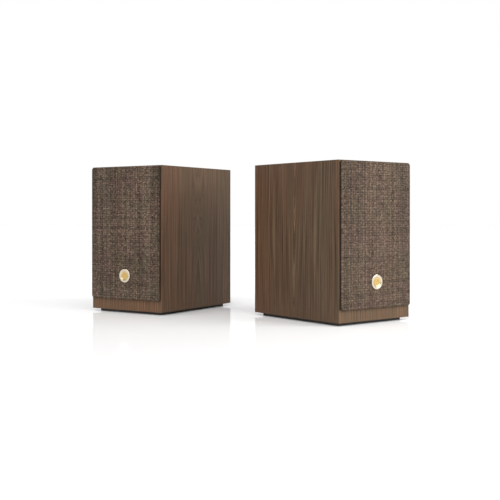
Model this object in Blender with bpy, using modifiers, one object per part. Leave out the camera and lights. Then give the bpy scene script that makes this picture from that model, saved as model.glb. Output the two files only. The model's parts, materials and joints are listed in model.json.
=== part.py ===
"""A pair of two-way desktop speakers: walnut cabinets on low dark bases, with magnetic cloth grilles.

The right speaker is the active one, with the amplifier and its sockets on the back. The left one is
passive. Metres, +Z up. -Y is the side that the pair is looked at from, and the origin is under the
middle of the pair.

Inside one speaker, X runs to the right of someone facing its front, Y runs from its front to its
back, and the origin is under the middle of its cabinet. Each speaker is modelled there and placed by
its own empty.
"""

import math

import bmesh
import bpy
from mathutils import Euler, Matrix, Vector

# Driving dimensions
CABINET_WIDTH = 0.1625
CABINET_DEPTH = 0.2150
CABINET_HEIGHT = 0.2600
WALL = 0.0140
BOTTOM_BOARD = 0.0240
BASE_HEIGHT = 0.0050
BASE_INSET = 0.0104
LEAD_RADIUS = 0.0014
CLEARANCE = 0.0003  # between pieces that touch

# The pair as it stands: each speaker's turn about Z, and the left middle measured from the right one
LEFT_YAW = math.radians(-32.9)
RIGHT_YAW = math.radians(37.7)
LEFT_FROM_RIGHT = Vector((-0.3033, 0.1545))

# Boards inside the cabinet
BAFFLE_RECESS = 0.0060
BAFFLE_THICKNESS = 0.0180
REAR_RECESS = 0.0015
REAR_THICKNESS = 0.0090
BATTEN = 0.0110
BATTEN_LENGTH = 0.2060

# Grille
GRILLE_GAP = 0.0011  # from the cabinet's front edge to the back of the grille
GRILLE_THICKNESS = 0.0040
GRILLE_SIDE_INSET = 0.0017
GRILLE_TOP_INSET = 0.0007
GRILLE_BOTTOM = 0.0252  # height of its lower edge
GRILLE_CORNER = 0.0045
CLOTH_THICKNESS = 0.0008
FRAME_RIM = 0.0130
FRAME_OPENING_CORNER = 0.0380
SPUR_HALF = 0.0060
SPUR_START = 0.0060  # above the frame's lower edge
BADGE_RADIUS = 0.01235
BADGE_HEIGHT = 0.0679
PEG_RADIUS = 0.0045
PEG_FROM_WALL = 0.0072
PEG_FROM_EDGE = 0.0218  # from the grille's upper or lower edge

# Drivers
WOOFER_HEIGHT = 0.1080
WOOFER_FLANGE = 0.0580
WOOFER_FLANGE_THICKNESS = 0.0032
WOOFER_HOLE = 0.0495
WOOFER_BACK = 0.0245  # depth of the ledge that the woofer's lead is soldered behind
TWEETER_HEIGHT = 0.2080
TWEETER_FLANGE = 0.0340
TWEETER_FLANGE_THICKNESS = 0.0030
TWEETER_HOLE = 0.0262
TWEETER_BACK = 0.0213  # depth of the back of its motor
REBATE_GAP = 0.0004  # round a driver's flange

# Back
PORT_HEIGHT = 0.2030
PORT_BORE = 0.0190
PORT_TUBE = 0.0215
PORT_LENGTH = 0.0930
PLATE_THICKNESS = 0.0022
PLATE_MARGIN = 0.0095  # from a plate's edge to the window under it
TERMINAL_PITCH = 0.0190
STUD_RADIUS = 0.0020
COLLAR_THICKNESS = 0.0016
JACK_RADIUS = 0.0040
JACK_BORE = 0.0017
ROCKER_TILT = math.radians(7)
BOARD_THICKNESS = 0.0016
CROSSOVER_LIFT = 0.0080  # from the cabinet's floor to the top of the board
AMPLIFIER_SETBACK = 0.0300  # from the rear panel's face to the board behind it
PAD_THICKNESS = 0.0200

OVERLAP = 0.0003  # joined shapes run this far into each other
PAST = 0.001  # cutters run this far past what they cut

# Places that follow from these
CABINET_TOP = BASE_HEIGHT + CABINET_HEIGHT
HALF_WIDTH = CABINET_WIDTH / 2
HALF_DEPTH = CABINET_DEPTH / 2
INNER_HALF = HALF_WIDTH - WALL
INNER_BOTTOM = BASE_HEIGHT + BOTTOM_BOARD
INNER_TOP = CABINET_TOP - WALL
BAFFLE_FRONT = -HALF_DEPTH + BAFFLE_RECESS
REAR_FACE = HALF_DEPTH - REAR_RECESS
PLATE_BACK = REAR_FACE + CLEARANCE
PLATE_FACE = PLATE_BACK + PLATE_THICKNESS
CROSSOVER_TOP = INNER_BOTTOM + CROSSOVER_LIFT
AMPLIFIER_BACK = REAR_FACE - AMPLIFIER_SETBACK  # the board's side that faces the plate
AMPLIFIER_FRONT = AMPLIFIER_BACK - BOARD_THICKNESS
GRILLE_BACK = -HALF_DEPTH - GRILLE_GAP
GRILLE_FRONT = GRILLE_BACK - GRILLE_THICKNESS
GRILLE_HALF = HALF_WIDTH - GRILLE_SIDE_INSET
GRILLE_TOP = CABINET_TOP - GRILLE_TOP_INSET
BATTEN_HEIGHT = (INNER_BOTTOM + INNER_TOP) / 2
PEG_X = INNER_HALF - PEG_FROM_WALL
PEG_HEIGHTS = (GRILLE_BOTTOM + PEG_FROM_EDGE, GRILLE_TOP - PEG_FROM_EDGE)

# How finely round pieces are faceted: all multiples of 4, so that nested rings line up
FINE, MEDIUM, COARSE = 20, 16, 12
SHARP_ANGLE = math.radians(40)  # edges sharper than this are not shaded smooth

# A turned piece or a cylinder faces one of these ways
FRONT = (math.pi / 2, 0, 0)
REAR = (-math.pi / 2, 0, 0)
UP = (0, 0, 0)

# Finishes: colour, roughness, metallic
FINISHES = {
    "walnut": ((0.115, 0.066, 0.038), 0.45, 0.0),
    "black_board": ((0.020, 0.019, 0.018), 0.70, 0.0),
    "base_rubber": ((0.030, 0.030, 0.028), 0.80, 0.0),
    "black_plastic": ((0.018, 0.018, 0.019), 0.50, 0.0),
    "grille_cloth": ((0.150, 0.118, 0.092), 0.95, 0.0),
    "brass": ((0.80, 0.60, 0.28), 0.28, 1.0),
    "steel": ((0.42, 0.42, 0.43), 0.35, 1.0),
    "ferrite": ((0.045, 0.045, 0.048), 0.60, 0.0),
    "paper_cone": ((0.030, 0.028, 0.026), 0.80, 0.0),
    "rubber": ((0.022, 0.022, 0.022), 0.60, 0.0),
    "silk_dome": ((0.035, 0.033, 0.032), 0.75, 0.0),
    "spider_cloth": ((0.52, 0.33, 0.12), 0.90, 0.0),
    "copper": ((0.72, 0.36, 0.20), 0.35, 1.0),
    "wadding": ((0.72, 0.71, 0.68), 1.00, 0.0),
    "circuit_board": ((0.035, 0.120, 0.060), 0.50, 0.0),
    "black_plate": ((0.028, 0.028, 0.030), 0.45, 0.6),
    "nickel": ((0.55, 0.53, 0.50), 0.30, 1.0),
    "red_plastic": ((0.480, 0.020, 0.018), 0.40, 0.0),
    "wire": ((0.400, 0.030, 0.025), 0.50, 0.0),
}


def clear_scene():
    for obj in list(bpy.data.objects):
        bpy.data.objects.remove(obj)


def new_collection(name):
    collection = bpy.data.collections.new(name)
    bpy.context.scene.collection.children.link(collection)
    return collection


def finish_material(name):
    found = bpy.data.materials.get(name)
    if found:
        return found
    colour, roughness, metallic = FINISHES[name]
    made = bpy.data.materials.new(name)
    made.use_nodes = True
    shader = made.node_tree.nodes["Principled BSDF"]
    shader.inputs["Base Color"].default_value = (*colour, 1.0)
    shader.inputs["Roughness"].default_value = roughness
    shader.inputs["Metallic"].default_value = metallic
    made.diffuse_color = (*colour, 1.0)
    return made


class Speaker:
    """One of the two speakers: it names its pieces, parents them to its empty, and keeps their cutters."""

    def __init__(self, side, yaw, middle, parts, cutters):
        self.side = side
        self.parts = parts
        self.cutters = cutters
        self.empty = bpy.data.objects.new(side + "_speaker", None)
        self.empty.location = (middle.x, middle.y, 0)
        self.empty.rotation_euler = (0, 0, yaw)
        parts.objects.link(self.empty)

    def place(self, name, mesh, collection, location=(0, 0, 0), rotation=(0, 0, 0)):
        obj = bpy.data.objects.new(f"{self.side}_{name}", mesh)
        collection.objects.link(obj)
        obj.parent = self.empty
        obj.location = location
        obj.rotation_euler = rotation
        return obj

    def piece(self, name, shape, finish, location=(0, 0, 0), rotation=(0, 0, 0)):
        """A sub-part. Its shape is a bmesh, and its origin is at the given location."""
        mesh = mesh_from(shape, name)
        mesh.materials.append(finish_material(finish))
        return self.place(name, mesh, self.parts, location, rotation)

    def cutter(self, name, shape, location=(0, 0, 0), rotation=(0, 0, 0)):
        obj = self.place(name + "_cutter", mesh_from(shape, name), self.cutters, location, rotation)
        return as_helper(obj)

    def turned(self, name, profile, finish, location, facing, steps=FINE, closed=True):
        """A turned sub-part. The profile is a list of (radius, depth behind the location)."""
        obj = self.piece(name, profile_wire(profile, closed), finish, location, facing)
        return add_screw(obj, steps)

    def turned_cutter(self, name, profile, location, facing, steps=FINE):
        obj = self.cutter(name, profile_wire(profile, closed=False), location, facing)
        return add_screw(obj, steps)


def as_helper(obj):
    obj.hide_render = True
    obj.display_type = "WIRE"
    return obj


def mesh_from(shape, name):
    mesh = bpy.data.meshes.new(name)
    shape.to_mesh(mesh)
    shape.free()
    return mesh


def add_screw(obj, steps):
    screw = obj.modifiers.new("Turn", "SCREW")
    screw.axis = "Z"
    screw.angle = math.tau
    screw.steps = steps
    screw.render_steps = steps
    screw.use_merge_vertices = True
    screw.merge_threshold = 0.00001
    return obj


def profile_wire(profile, closed):
    """Edges from point to point of a profile, at +X, running down as its depth grows."""
    shape = bmesh.new()
    points = [shape.verts.new((radius, 0, -depth)) for radius, depth in profile]
    pairs = list(zip(points, points[1:]))
    if closed:
        pairs.append((points[-1], points[0]))
    for start, end in pairs:
        shape.edges.new((start, end))
    return shape


def smooth_by_angle():
    """A node group that shades a piece smooth, except across its sharp edges."""
    group = bpy.data.node_groups.new("Smooth by angle", "GeometryNodeTree")
    for in_out in ("INPUT", "OUTPUT"):
        group.interface.new_socket("Geometry", in_out=in_out, socket_type="NodeSocketGeometry")
    nodes, links = group.nodes, group.links
    start, end = nodes.new("NodeGroupInput"), nodes.new("NodeGroupOutput")
    faces, edges = nodes.new("GeometryNodeSetShadeSmooth"), nodes.new("GeometryNodeSetShadeSmooth")
    edges.domain = "EDGE"
    angle = nodes.new("GeometryNodeInputMeshEdgeAngle")
    flat = nodes.new("FunctionNodeCompare")
    flat.operation = "LESS_EQUAL"
    flat.inputs[1].default_value = SHARP_ANGLE
    links.new(angle.outputs["Unsigned Angle"], flat.inputs[0])
    links.new(start.outputs[0], faces.inputs["Geometry"])
    links.new(faces.outputs[0], edges.inputs["Geometry"])
    links.new(flat.outputs[0], edges.inputs["Shade Smooth"])
    links.new(edges.outputs[0], end.inputs[0])
    return group


def shade(parts):
    group = smooth_by_angle()
    for obj in parts.objects:
        if obj.type == "MESH":
            obj.modifiers.new("Shading", "NODES").node_group = group


def add_box(shape, middle, size):
    made = bmesh.ops.create_cube(shape, size=1.0)["verts"]
    bmesh.ops.scale(shape, vec=Vector(size), verts=made)
    bmesh.ops.translate(shape, vec=Vector(middle), verts=made)
    return made


def add_span(shape, low, high):
    """A box given by its lowest and highest corner."""
    low, high = Vector(low), Vector(high)
    return add_box(shape, (low + high) / 2, high - low)


def add_cylinder(shape, start, radius, length, facing, segments=COARSE):
    """A cylinder from a start point, running back from the way it faces."""
    turn = Euler(facing).to_matrix().to_4x4()
    place = Matrix.Translation(start) @ turn @ Matrix.Translation((0, 0, -length / 2))
    bmesh.ops.create_cone(
        shape,
        cap_ends=True,
        segments=segments,
        radius1=radius,
        radius2=radius,
        depth=length,
        matrix=place,
    )


def add_prism(shape, outline, front, back):
    """A flat outline of (x, z) points, run from y = front to y = back."""
    points = [shape.verts.new((x, front, z)) for x, z in outline]
    face = shape.faces.new(points)
    made = bmesh.ops.extrude_face_region(shape, geom=[face])["geom"]
    moved = [v for v in made if isinstance(v, bmesh.types.BMVert)]
    bmesh.ops.translate(shape, vec=(0, back - front, 0), verts=moved)
    bmesh.ops.recalc_face_normals(shape, faces=shape.faces)


def rounded_outline(half_width, bottom, top, corner, steps):
    """A rectangle with round corners, as (x, z) points."""
    centres = [
        (half_width - corner, top - corner),
        (corner - half_width, top - corner),
        (corner - half_width, bottom + corner),
        (half_width - corner, bottom + corner),
    ]
    outline = []
    for quarter, (x, z) in enumerate(centres):
        for step in range(steps + 1):
            angle = (quarter + step / steps) * math.pi / 2
            outline.append((x + corner * math.cos(angle), z + corner * math.sin(angle)))
    return outline


def boolean(obj, other, operation="DIFFERENCE"):
    modifier = obj.modifiers.new(operation.title(), "BOOLEAN")
    modifier.operation = operation
    modifier.object = other
    return obj


def bevel(obj, width, segments=1):
    modifier = obj.modifiers.new("Bevel", "BEVEL")
    modifier.width = width
    modifier.segments = segments
    modifier.limit_method = "ANGLE"
    modifier.angle_limit = math.radians(50)
    return obj


def smooth_route(points, per_span):
    """Points of a Catmull-Rom curve through the given ones."""
    points = [Vector(p) for p in points]
    ends = [2 * points[0] - points[1], *points, 2 * points[-1] - points[-2]]
    route = []
    for a, b, c, d in zip(ends, ends[1:], ends[2:], ends[3:]):
        for step in range(per_span):
            t = step / per_span
            bend = (2 * a - 5 * b + 4 * c - d) * t**2
            twist = (3 * b - a - 3 * c + d) * t**3
            route.append(0.5 * (2 * b + (c - a) * t + bend + twist))
    return [*route, points[-1]]


# Cabinet


def build_cabinet(speaker):
    """Four mitred boards glued into a tube, with the two battens that the rear panel is screwed to."""
    shape = bmesh.new()
    add_span(shape, (-HALF_WIDTH, -HALF_DEPTH, BASE_HEIGHT), (HALF_WIDTH, HALF_DEPTH, CABINET_TOP))
    inside = bmesh.new()
    reach = HALF_DEPTH + PAST
    add_span(inside, (-INNER_HALF, -reach, INNER_BOTTOM), (INNER_HALF, reach, INNER_TOP))
    battens = bmesh.new()
    batten_back = REAR_FACE - REAR_THICKNESS - CLEARANCE
    for side in (-1, 1):
        middle = (side * (INNER_HALF - (BATTEN - OVERLAP) / 2), batten_back - BATTEN / 2, BATTEN_HEIGHT)
        add_box(battens, middle, (BATTEN + OVERLAP, BATTEN, BATTEN_LENGTH))
    cabinet = speaker.piece("cabinet", shape, "walnut")
    boolean(cabinet, speaker.cutter("cabinet_inside", inside))
    boolean(cabinet, speaker.cutter("cabinet_battens", battens), "UNION")


def build_base(speaker):
    shape = bmesh.new()
    half_x, half_y = HALF_WIDTH - BASE_INSET, HALF_DEPTH - BASE_INSET
    add_span(shape, (-half_x, -half_y, 0), (half_x, half_y, BASE_HEIGHT - CLEARANCE))
    speaker.piece("base_plate", shape, "base_rubber")


# Front


def build_baffle(speaker):
    """The board that holds the drivers, rebated for their flanges."""
    shape = bmesh.new()
    edge = INNER_HALF - CLEARANCE
    add_span(
        shape,
        (-edge, BAFFLE_FRONT, INNER_BOTTOM + CLEARANCE),
        (edge, BAFFLE_FRONT + BAFFLE_THICKNESS, INNER_TOP - CLEARANCE),
    )
    baffle = speaker.piece("front_baffle", shape, "black_board")
    drivers = [
        ("woofer", WOOFER_HEIGHT, WOOFER_FLANGE, WOOFER_FLANGE_THICKNESS, WOOFER_HOLE, FINE),
        ("tweeter", TWEETER_HEIGHT, TWEETER_FLANGE, TWEETER_FLANGE_THICKNESS, TWEETER_HOLE, MEDIUM),
    ]
    for name, height, flange, thickness, hole, steps in drivers:
        rebate = flange + REBATE_GAP
        profile = [
            (0, -PAST),
            (rebate, -PAST),
            (rebate, thickness + CLEARANCE),
            (hole, thickness + CLEARANCE),
            (hole, BAFFLE_THICKNESS + PAST),
            (0, BAFFLE_THICKNESS + PAST),
        ]
        place = (0, BAFFLE_FRONT, height)
        boolean(baffle, speaker.turned_cutter(name + "_hole", profile, place, FRONT, steps))


def grille_outline(inset=0.0, corner=GRILLE_CORNER, steps=4):
    half, bottom, top = GRILLE_HALF - inset, GRILLE_BOTTOM + inset, GRILLE_TOP - inset
    return rounded_outline(half, bottom, top, corner, steps)


def build_grille(speaker):
    """The stretched cloth, the frame behind it, and the brass badge on the frame's boss."""
    cloth = bmesh.new()
    add_prism(cloth, grille_outline(), GRILLE_FRONT, GRILLE_FRONT + CLOTH_THICKNESS)
    hole = bmesh.new()
    place = (0, GRILLE_FRONT - PAST, BADGE_HEIGHT)
    add_cylinder(hole, place, BADGE_RADIUS + CLEARANCE, CLOTH_THICKNESS + 2 * PAST, FRONT, FINE)
    boolean(speaker.piece("grille_cloth", cloth, "grille_cloth"), speaker.cutter("badge_hole", hole))
    build_grille_frame(speaker)
    badge = [
        (0, -0.0002),
        (0.0102, -0.0002),
        (0.0108, -0.0008),
        (0.0119, -0.0008),
        (BADGE_RADIUS, -0.0004),
        (BADGE_RADIUS, CLOTH_THICKNESS),
        (0, CLOTH_THICKNESS),
    ]
    place = (0, GRILLE_FRONT, BADGE_HEIGHT)
    speaker.turned("grille_badge", badge, "brass", place, FRONT, FINE, closed=False)


def build_grille_frame(speaker):
    """A rim with a spur up to the badge's seat, and the four pegs whose magnets hold it to the baffle."""
    front = GRILLE_FRONT + CLOTH_THICKNESS + CLEARANCE
    plate = bmesh.new()
    add_prism(plate, grille_outline(), front, GRILLE_BACK)
    opening = bmesh.new()
    inside = grille_outline(FRAME_RIM, FRAME_OPENING_CORNER, 5)
    add_prism(opening, inside, front - PAST, GRILLE_BACK + PAST)
    spur = bmesh.new()
    spur_low = (-SPUR_HALF, front + OVERLAP, GRILLE_BOTTOM + SPUR_START)
    add_span(spur, spur_low, (SPUR_HALF, GRILLE_BACK - OVERLAP, BADGE_HEIGHT))
    boss = bmesh.new()
    boss_length = GRILLE_BACK - front - OVERLAP / 2
    add_cylinder(boss, (0, front, BADGE_HEIGHT), BADGE_RADIUS - 0.0008, boss_length, FRONT, FINE)
    pegs = bmesh.new()
    peg_start, peg_end = GRILLE_BACK - 2 * OVERLAP, BAFFLE_FRONT - CLEARANCE
    for side in (-1, 1):
        for height in PEG_HEIGHTS:
            add_cylinder(pegs, (side * PEG_X, peg_start, height), PEG_RADIUS, peg_end - peg_start, FRONT)
    frame = speaker.piece("grille_frame", plate, "black_plastic")
    boolean(frame, speaker.cutter("grille_opening", opening))
    boolean(frame, speaker.cutter("grille_spur", spur), "UNION")
    boolean(frame, speaker.cutter("grille_boss", boss), "UNION")
    boolean(frame, speaker.cutter("grille_pegs", pegs), "UNION")


# Drivers


def build_woofer(speaker):
    place = (0, BAFFLE_FRONT, WOOFER_HEIGHT)
    basket = [
        (WOOFER_FLANGE, 0),
        (WOOFER_FLANGE, WOOFER_FLANGE_THICKNESS),
        (0.0486, WOOFER_FLANGE_THICKNESS),
        (0.0474, 0.0062),
        (0.0391, WOOFER_BACK),
        (0.0326, WOOFER_BACK),
        (0.0326, 0.0320),
        (0.0170, 0.0320),
        (0.0170, 0.0300),
        (0.0310, 0.0300),
        (0.0310, 0.0228),
        (0.0375, 0.0228),
        (0.0458, 0.0060),
        (0.0466, 0.0018),
        (0.0505, 0.0018),
        (0.0505, 0),
    ]
    piece = speaker.turned("woofer_basket", basket, "black_plate", place, FRONT)
    windows = bmesh.new()
    for i in range(6):
        made = add_box(windows, (0.0430, 0, -0.0145), (0.020, 0.030, 0.0125))
        turn = Matrix.Rotation(math.tau * i / 6, 3, "Z")
        bmesh.ops.rotate(windows, matrix=turn, cent=(0, 0, 0), verts=made)
    boolean(piece, speaker.cutter("basket_windows", windows, place, FRONT))
    magnet = [(0.0380, 0.0376), (0.0380, 0.0516), (0.0180, 0.0516), (0.0180, 0.0376)]
    speaker.turned("woofer_magnet", magnet, "ferrite", place, FRONT)
    pole = [(0, 0.0323), (0.0122, 0.0323), (0.0122, 0.0519)]
    yoke = [*pole, (0.0340, 0.0519), (0.0340, 0.0569), (0, 0.0569)]
    speaker.turned("woofer_yoke", yoke, "steel", place, FRONT, closed=False)
    top_plate = [(0.0340, 0.0323), (0.0340, 0.0373), (0.0140, 0.0373), (0.0140, 0.0323)]
    speaker.turned("woofer_top_plate", top_plate, "steel", place, FRONT)
    cone = [
        (0.0388, 0.0024),
        (0.0388, 0.0032),
        (0.0371, 0.0034),
        (0.0144, 0.0168),
        (0.0133, 0.0172),
        (0.0133, 0.0164),
        (0.0140, 0.0160),
        (0.0368, 0.0026),
    ]
    speaker.turned("woofer_cone", cone, "paper_cone", place, FRONT)
    coil = [
        (0.0130, 0.0150),
        (0.0130, 0.0300),
        (0.0134, 0.0300),
        (0.0134, 0.0390),
        (0.0127, 0.0390),
        (0.0127, 0.0150),
    ]
    speaker.turned("woofer_voice_coil", coil, "copper", place, FRONT)
    cap = dome_profile(radius=0.0172, edge=0.0130, rise=0.0058, thickness=0.0006, steps=3)
    speaker.turned("woofer_dust_cap", cap, "paper_cone", place, FRONT, closed=False)
    speaker.turned("woofer_surround", surround_profile(), "rubber", place, FRONT)
    speaker.turned("woofer_spider", spider_profile(), "spider_cloth", place, FRONT, MEDIUM)


def dome_profile(radius, edge, rise, thickness, steps):
    """A thin dome from the axis out and back. Edge is the depth of its front surface at the rim."""
    sphere = (radius**2 + rise**2) / (2 * rise)
    sweep = math.asin(radius / sphere)

    def arc(r, depth):
        angles = [sweep * i / steps for i in range(steps + 1)]
        return [(r * math.sin(a), depth + sphere * (1 - math.cos(a))) for a in angles]

    front = arc(sphere, edge - rise)
    back = [(r, depth + thickness) for r, depth in front]
    return front + back[::-1]


def surround_profile():
    """A half roll between a flat inner lip on the cone and a flat outer lip on the basket."""
    middle, depth, radius, thickness, steps = 0.0428, 0.0013, 0.0040, 0.0005, 6

    def roll(r, first):
        angles = [first + (math.pi - 2 * first) * i / steps for i in range(steps + 1)]
        return [(middle + r * math.cos(a), depth - r * math.sin(a)) for a in angles]

    outer_lip = [(0.0502, 0.0010), (0.0502, 0.0015), (0.0470, 0.0015)]
    under = roll(radius - thickness, math.radians(4))
    inner_lip = [(0.0386, 0.0021), (0.0369, 0.0021), (0.0369, 0.0016), (0.0386, 0.0015)]
    over = roll(radius, math.radians(4))
    return [*outer_lip, *under[1:-1], *inner_lip, *over[::-1][1:]]


def spider_profile():
    """A corrugated disc with a flat rim on the basket's ledge."""
    inner, outer, depth, ripple, thickness, steps = 0.0133, 0.0308, 0.0222, 0.0010, 0.0004, 8
    front = []
    for i in range(steps + 1):
        share = i / steps
        wave = ripple * math.sin(share * math.tau * 2)
        front.append((outer + (inner - outer) * share, depth - wave))
    back = [(r, d + thickness) for r, d in front]
    rim = [(0.0368, depth), (0.0368, depth + thickness)]
    return [*rim, *back, *front[::-1]]


def build_tweeter(speaker):
    place = (0, BAFFLE_FRONT, TWEETER_HEIGHT)
    plate = [
        (TWEETER_FLANGE, 0),
        (TWEETER_FLANGE, TWEETER_FLANGE_THICKNESS),
        (0.0138, TWEETER_FLANGE_THICKNESS),
        (0.0138, 0.0024),
        (0.0180, 0.0016),
        (0.0235, 0.0005),
        (0.0262, 0),
    ]
    speaker.turned("tweeter_faceplate", plate, "black_plastic", place, FRONT, MEDIUM)
    cap = dome_profile(radius=0.0127, edge=0.0022, rise=0.0050, thickness=0.0004, steps=3)
    steps = len(cap) // 2
    skirt = [(0.0127, 0.0062), (0.0123, 0.0062), (0.0123, 0.0026)]
    dome = [*cap[:steps], *skirt, *cap[steps + 1 :]]
    speaker.turned("tweeter_dome", dome, "silk_dome", place, FRONT, MEDIUM, closed=False)
    motor = [
        (0, 0.0042),
        (0.0114, 0.0042),
        (0.0114, 0.0080),
        (0.0139, 0.0080),
        (0.0139, 0.0033),
        (0.0250, 0.0033),
        (0.0250, TWEETER_BACK),
        (0, TWEETER_BACK),
    ]
    speaker.turned("tweeter_motor", motor, "steel", place, FRONT, MEDIUM, closed=False)


# Back


def build_rear_panel(speaker, plate):
    """The rear panel, with its port hole and a window behind the terminal or amplifier plate."""
    shape = bmesh.new()
    edge = INNER_HALF - CLEARANCE
    low = (-edge, REAR_FACE - REAR_THICKNESS, INNER_BOTTOM + CLEARANCE)
    add_span(shape, low, (edge, REAR_FACE, INNER_TOP - CLEARANCE))
    cuts = bmesh.new()
    window = [2 * (half - PLATE_MARGIN) for half in plate["half"]]
    add_box(cuts, (0, REAR_FACE, plate["middle"]), (window[0], 4 * REAR_THICKNESS, window[1]))
    port_start = (0, REAR_FACE + PAST, PORT_HEIGHT)
    add_cylinder(cuts, port_start, PORT_TUBE + CLEARANCE, REAR_THICKNESS + 2 * PAST, REAR, FINE)
    boolean(speaker.piece("rear_panel", shape, "black_board"), speaker.cutter("rear_holes", cuts))


def build_port(speaker):
    """A flared reflex port, pushed in from the back."""
    profile = [
        (0.0275, -0.0022),
        (0.0280, -CLEARANCE),
        (PORT_TUBE, -CLEARANCE),
        (PORT_TUBE, PORT_LENGTH),
        (PORT_BORE, PORT_LENGTH),
        (PORT_BORE, 0.0140),
        (0.0198, 0.0080),
        (0.0218, 0.0030),
        (0.0250, -0.0012),
        (0.0264, -0.0024),
    ]
    speaker.turned("port_tube", profile, "black_plastic", (0, REAR_FACE, PORT_HEIGHT), REAR)


def build_plate(speaker, plate, name, finish, holes):
    """A plate over the rear panel's window, with its holes."""
    half, middle = plate["half"], plate["middle"]
    shape = bmesh.new()
    add_span(shape, (-half[0], PLATE_BACK, middle - half[1]), (half[0], PLATE_FACE, middle + half[1]))
    boolean(speaker.piece(name, shape, finish), speaker.cutter(name + "_holes", holes))


def add_round_hole(holes, x, z, radius):
    add_cylinder(holes, (x, PLATE_FACE + PAST, z), radius, PLATE_THICKNESS + 2 * PAST, REAR)


def add_square_hole(holes, x, z, width, height):
    add_box(holes, (x, PLATE_FACE, z), (width, 4 * PLATE_THICKNESS, height))


def build_terminals(speaker, x, z):
    """Two studs moulded into one block behind the plate, and the caps that turn on them."""
    half_width, half_height, depth = 0.0170, 0.0065, 0.0095
    block = bmesh.new()
    low = (x - half_width, PLATE_BACK - depth, z - half_height)
    add_span(block, low, (x + half_width, PLATE_BACK - CLEARANCE, z + half_height))
    studs = bmesh.new()
    collar = PLATE_FACE + CLEARANCE + COLLAR_THICKNESS
    for side in (-1, 1):
        stud_x = x + side * TERMINAL_PITCH / 2
        add_cylinder(studs, (stud_x, collar + 0.0130, z), STUD_RADIUS, 0.0200, REAR)
    collars = bmesh.new()
    for side in (-1, 1):
        add_cylinder(collars, (x + side * TERMINAL_PITCH / 2, collar, z), 0.0055, COLLAR_THICKNESS, REAR)
    terminals = speaker.piece("terminal_block", block, "nickel")
    boolean(terminals, speaker.cutter("terminal_studs", studs), "UNION")
    boolean(terminals, speaker.cutter("terminal_collars", collars), "UNION")
    cap = [
        (0.0058, -0.0142),
        (0.0062, -0.0134),
        (0.0062, -0.0020),
        (0.0050, -CLEARANCE),
        (STUD_RADIUS + 2 * CLEARANCE, -CLEARANCE),
        (STUD_RADIUS + 2 * CLEARANCE, -0.0142),
    ]
    for name, finish, side in (("red", "red_plastic", 1), ("black", "black_plastic", -1)):
        place = (x + side * TERMINAL_PITCH / 2, collar, z)
        speaker.turned(name + "_terminal", cap, finish, place, REAR, COARSE)


def add_terminal_holes(holes, x, z):
    for side in (-1, 1):
        add_round_hole(holes, x + side * TERMINAL_PITCH / 2, z, STUD_RADIUS + 2 * CLEARANCE)


def build_passive_back(speaker):
    plate = {"half": (0.036, 0.028), "middle": 0.082}
    holes = bmesh.new()
    add_terminal_holes(holes, 0, plate["middle"])
    build_plate(speaker, plate, "terminal_plate", "black_plastic", holes)
    build_rear_panel(speaker, plate)
    build_terminals(speaker, 0, plate["middle"])


def build_crossover(speaker):
    """The passive speaker's crossover: a board on the cabinet's floor, and two coils on it."""
    board = bmesh.new()
    add_span(board, (-0.050, -0.036, CROSSOVER_TOP - BOARD_THICKNESS), (0.050, 0.064, CROSSOVER_TOP))
    parts = bmesh.new()
    under = CROSSOVER_TOP - BOARD_THICKNESS + OVERLAP
    for x in (-0.044, 0.044):
        for y in (-0.030, 0.058):
            add_cylinder(parts, (x, y, under), 0.003, under - INNER_BOTTOM - CLEARANCE, UP)
    for y in (-0.022, -0.003, 0.016):
        add_cylinder(parts, (-0.040, y, CROSSOVER_TOP + 0.0066), 0.0070, 0.034, (0, -math.pi / 2, 0))
    resistor_top = CROSSOVER_TOP + 0.009
    add_span(parts, (-0.040, 0.034, CROSSOVER_TOP - OVERLAP), (-0.014, 0.044, resistor_top))
    piece = speaker.piece("crossover_board", board, "circuit_board")
    boolean(piece, speaker.cutter("crossover_parts", parts), "UNION")
    coils = (("large_coil", -0.010, 0.019, 0.016), ("small_coil", 0.036, 0.015, 0.013))
    for name, y, radius, height in coils:
        bore = radius * 0.45
        ring = [(radius, -height), (radius, 0), (bore, 0), (bore, -height)]
        speaker.turned(name, ring, "copper", (0.026, y, CROSSOVER_TOP + CLEARANCE), UP, MEDIUM)


def build_active_back(speaker):
    """The active speaker's metal plate, its sockets, switch and button, and the board behind it."""
    plate = {"half": (0.056, 0.059), "middle": 0.093}
    low, middle, high = 0.057, 0.095, 0.127
    terminals = (-0.028, low)
    inlet = (0.034, low)
    switch = (0.008, low)
    button = (-0.030, middle)
    holes = bmesh.new()
    add_terminal_holes(holes, *terminals)
    add_round_hole(holes, *button, 0.0033)
    add_square_hole(holes, *inlet, 0.0226, 0.0136)
    add_square_hole(holes, *switch, 0.0112, 0.0176)
    sockets = {
        "jacks": [(x, high) for x in (0.030, 0.010, -0.010)],
        "wide": (0.030, middle),
        "square": (0.004, middle),
    }
    for x, z in sockets["jacks"]:
        add_round_hole(holes, x, z, JACK_RADIUS + CLEARANCE)
    add_square_hole(holes, *sockets["wide"], 0.0158, 0.0066)
    add_square_hole(holes, *sockets["square"], 0.0106, 0.0106)
    build_plate(speaker, plate, "amplifier_plate", "black_plate", holes)
    build_rear_panel(speaker, plate)
    build_terminals(speaker, *terminals)
    build_power_inlet(speaker, *inlet)
    build_power_switch(speaker, *switch)
    build_sockets(speaker, sockets)
    profile = [(0, -0.0016), (0.0026, -0.0016), (0.0029, -0.0012), (0.0029, 0.0060), (0, 0.0060)]
    place = (button[0], PLATE_FACE, button[1])
    speaker.turned("pairing_button", profile, "black_plastic", place, REAR, COARSE, closed=False)
    build_amplifier_board(speaker, plate["middle"])


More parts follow.
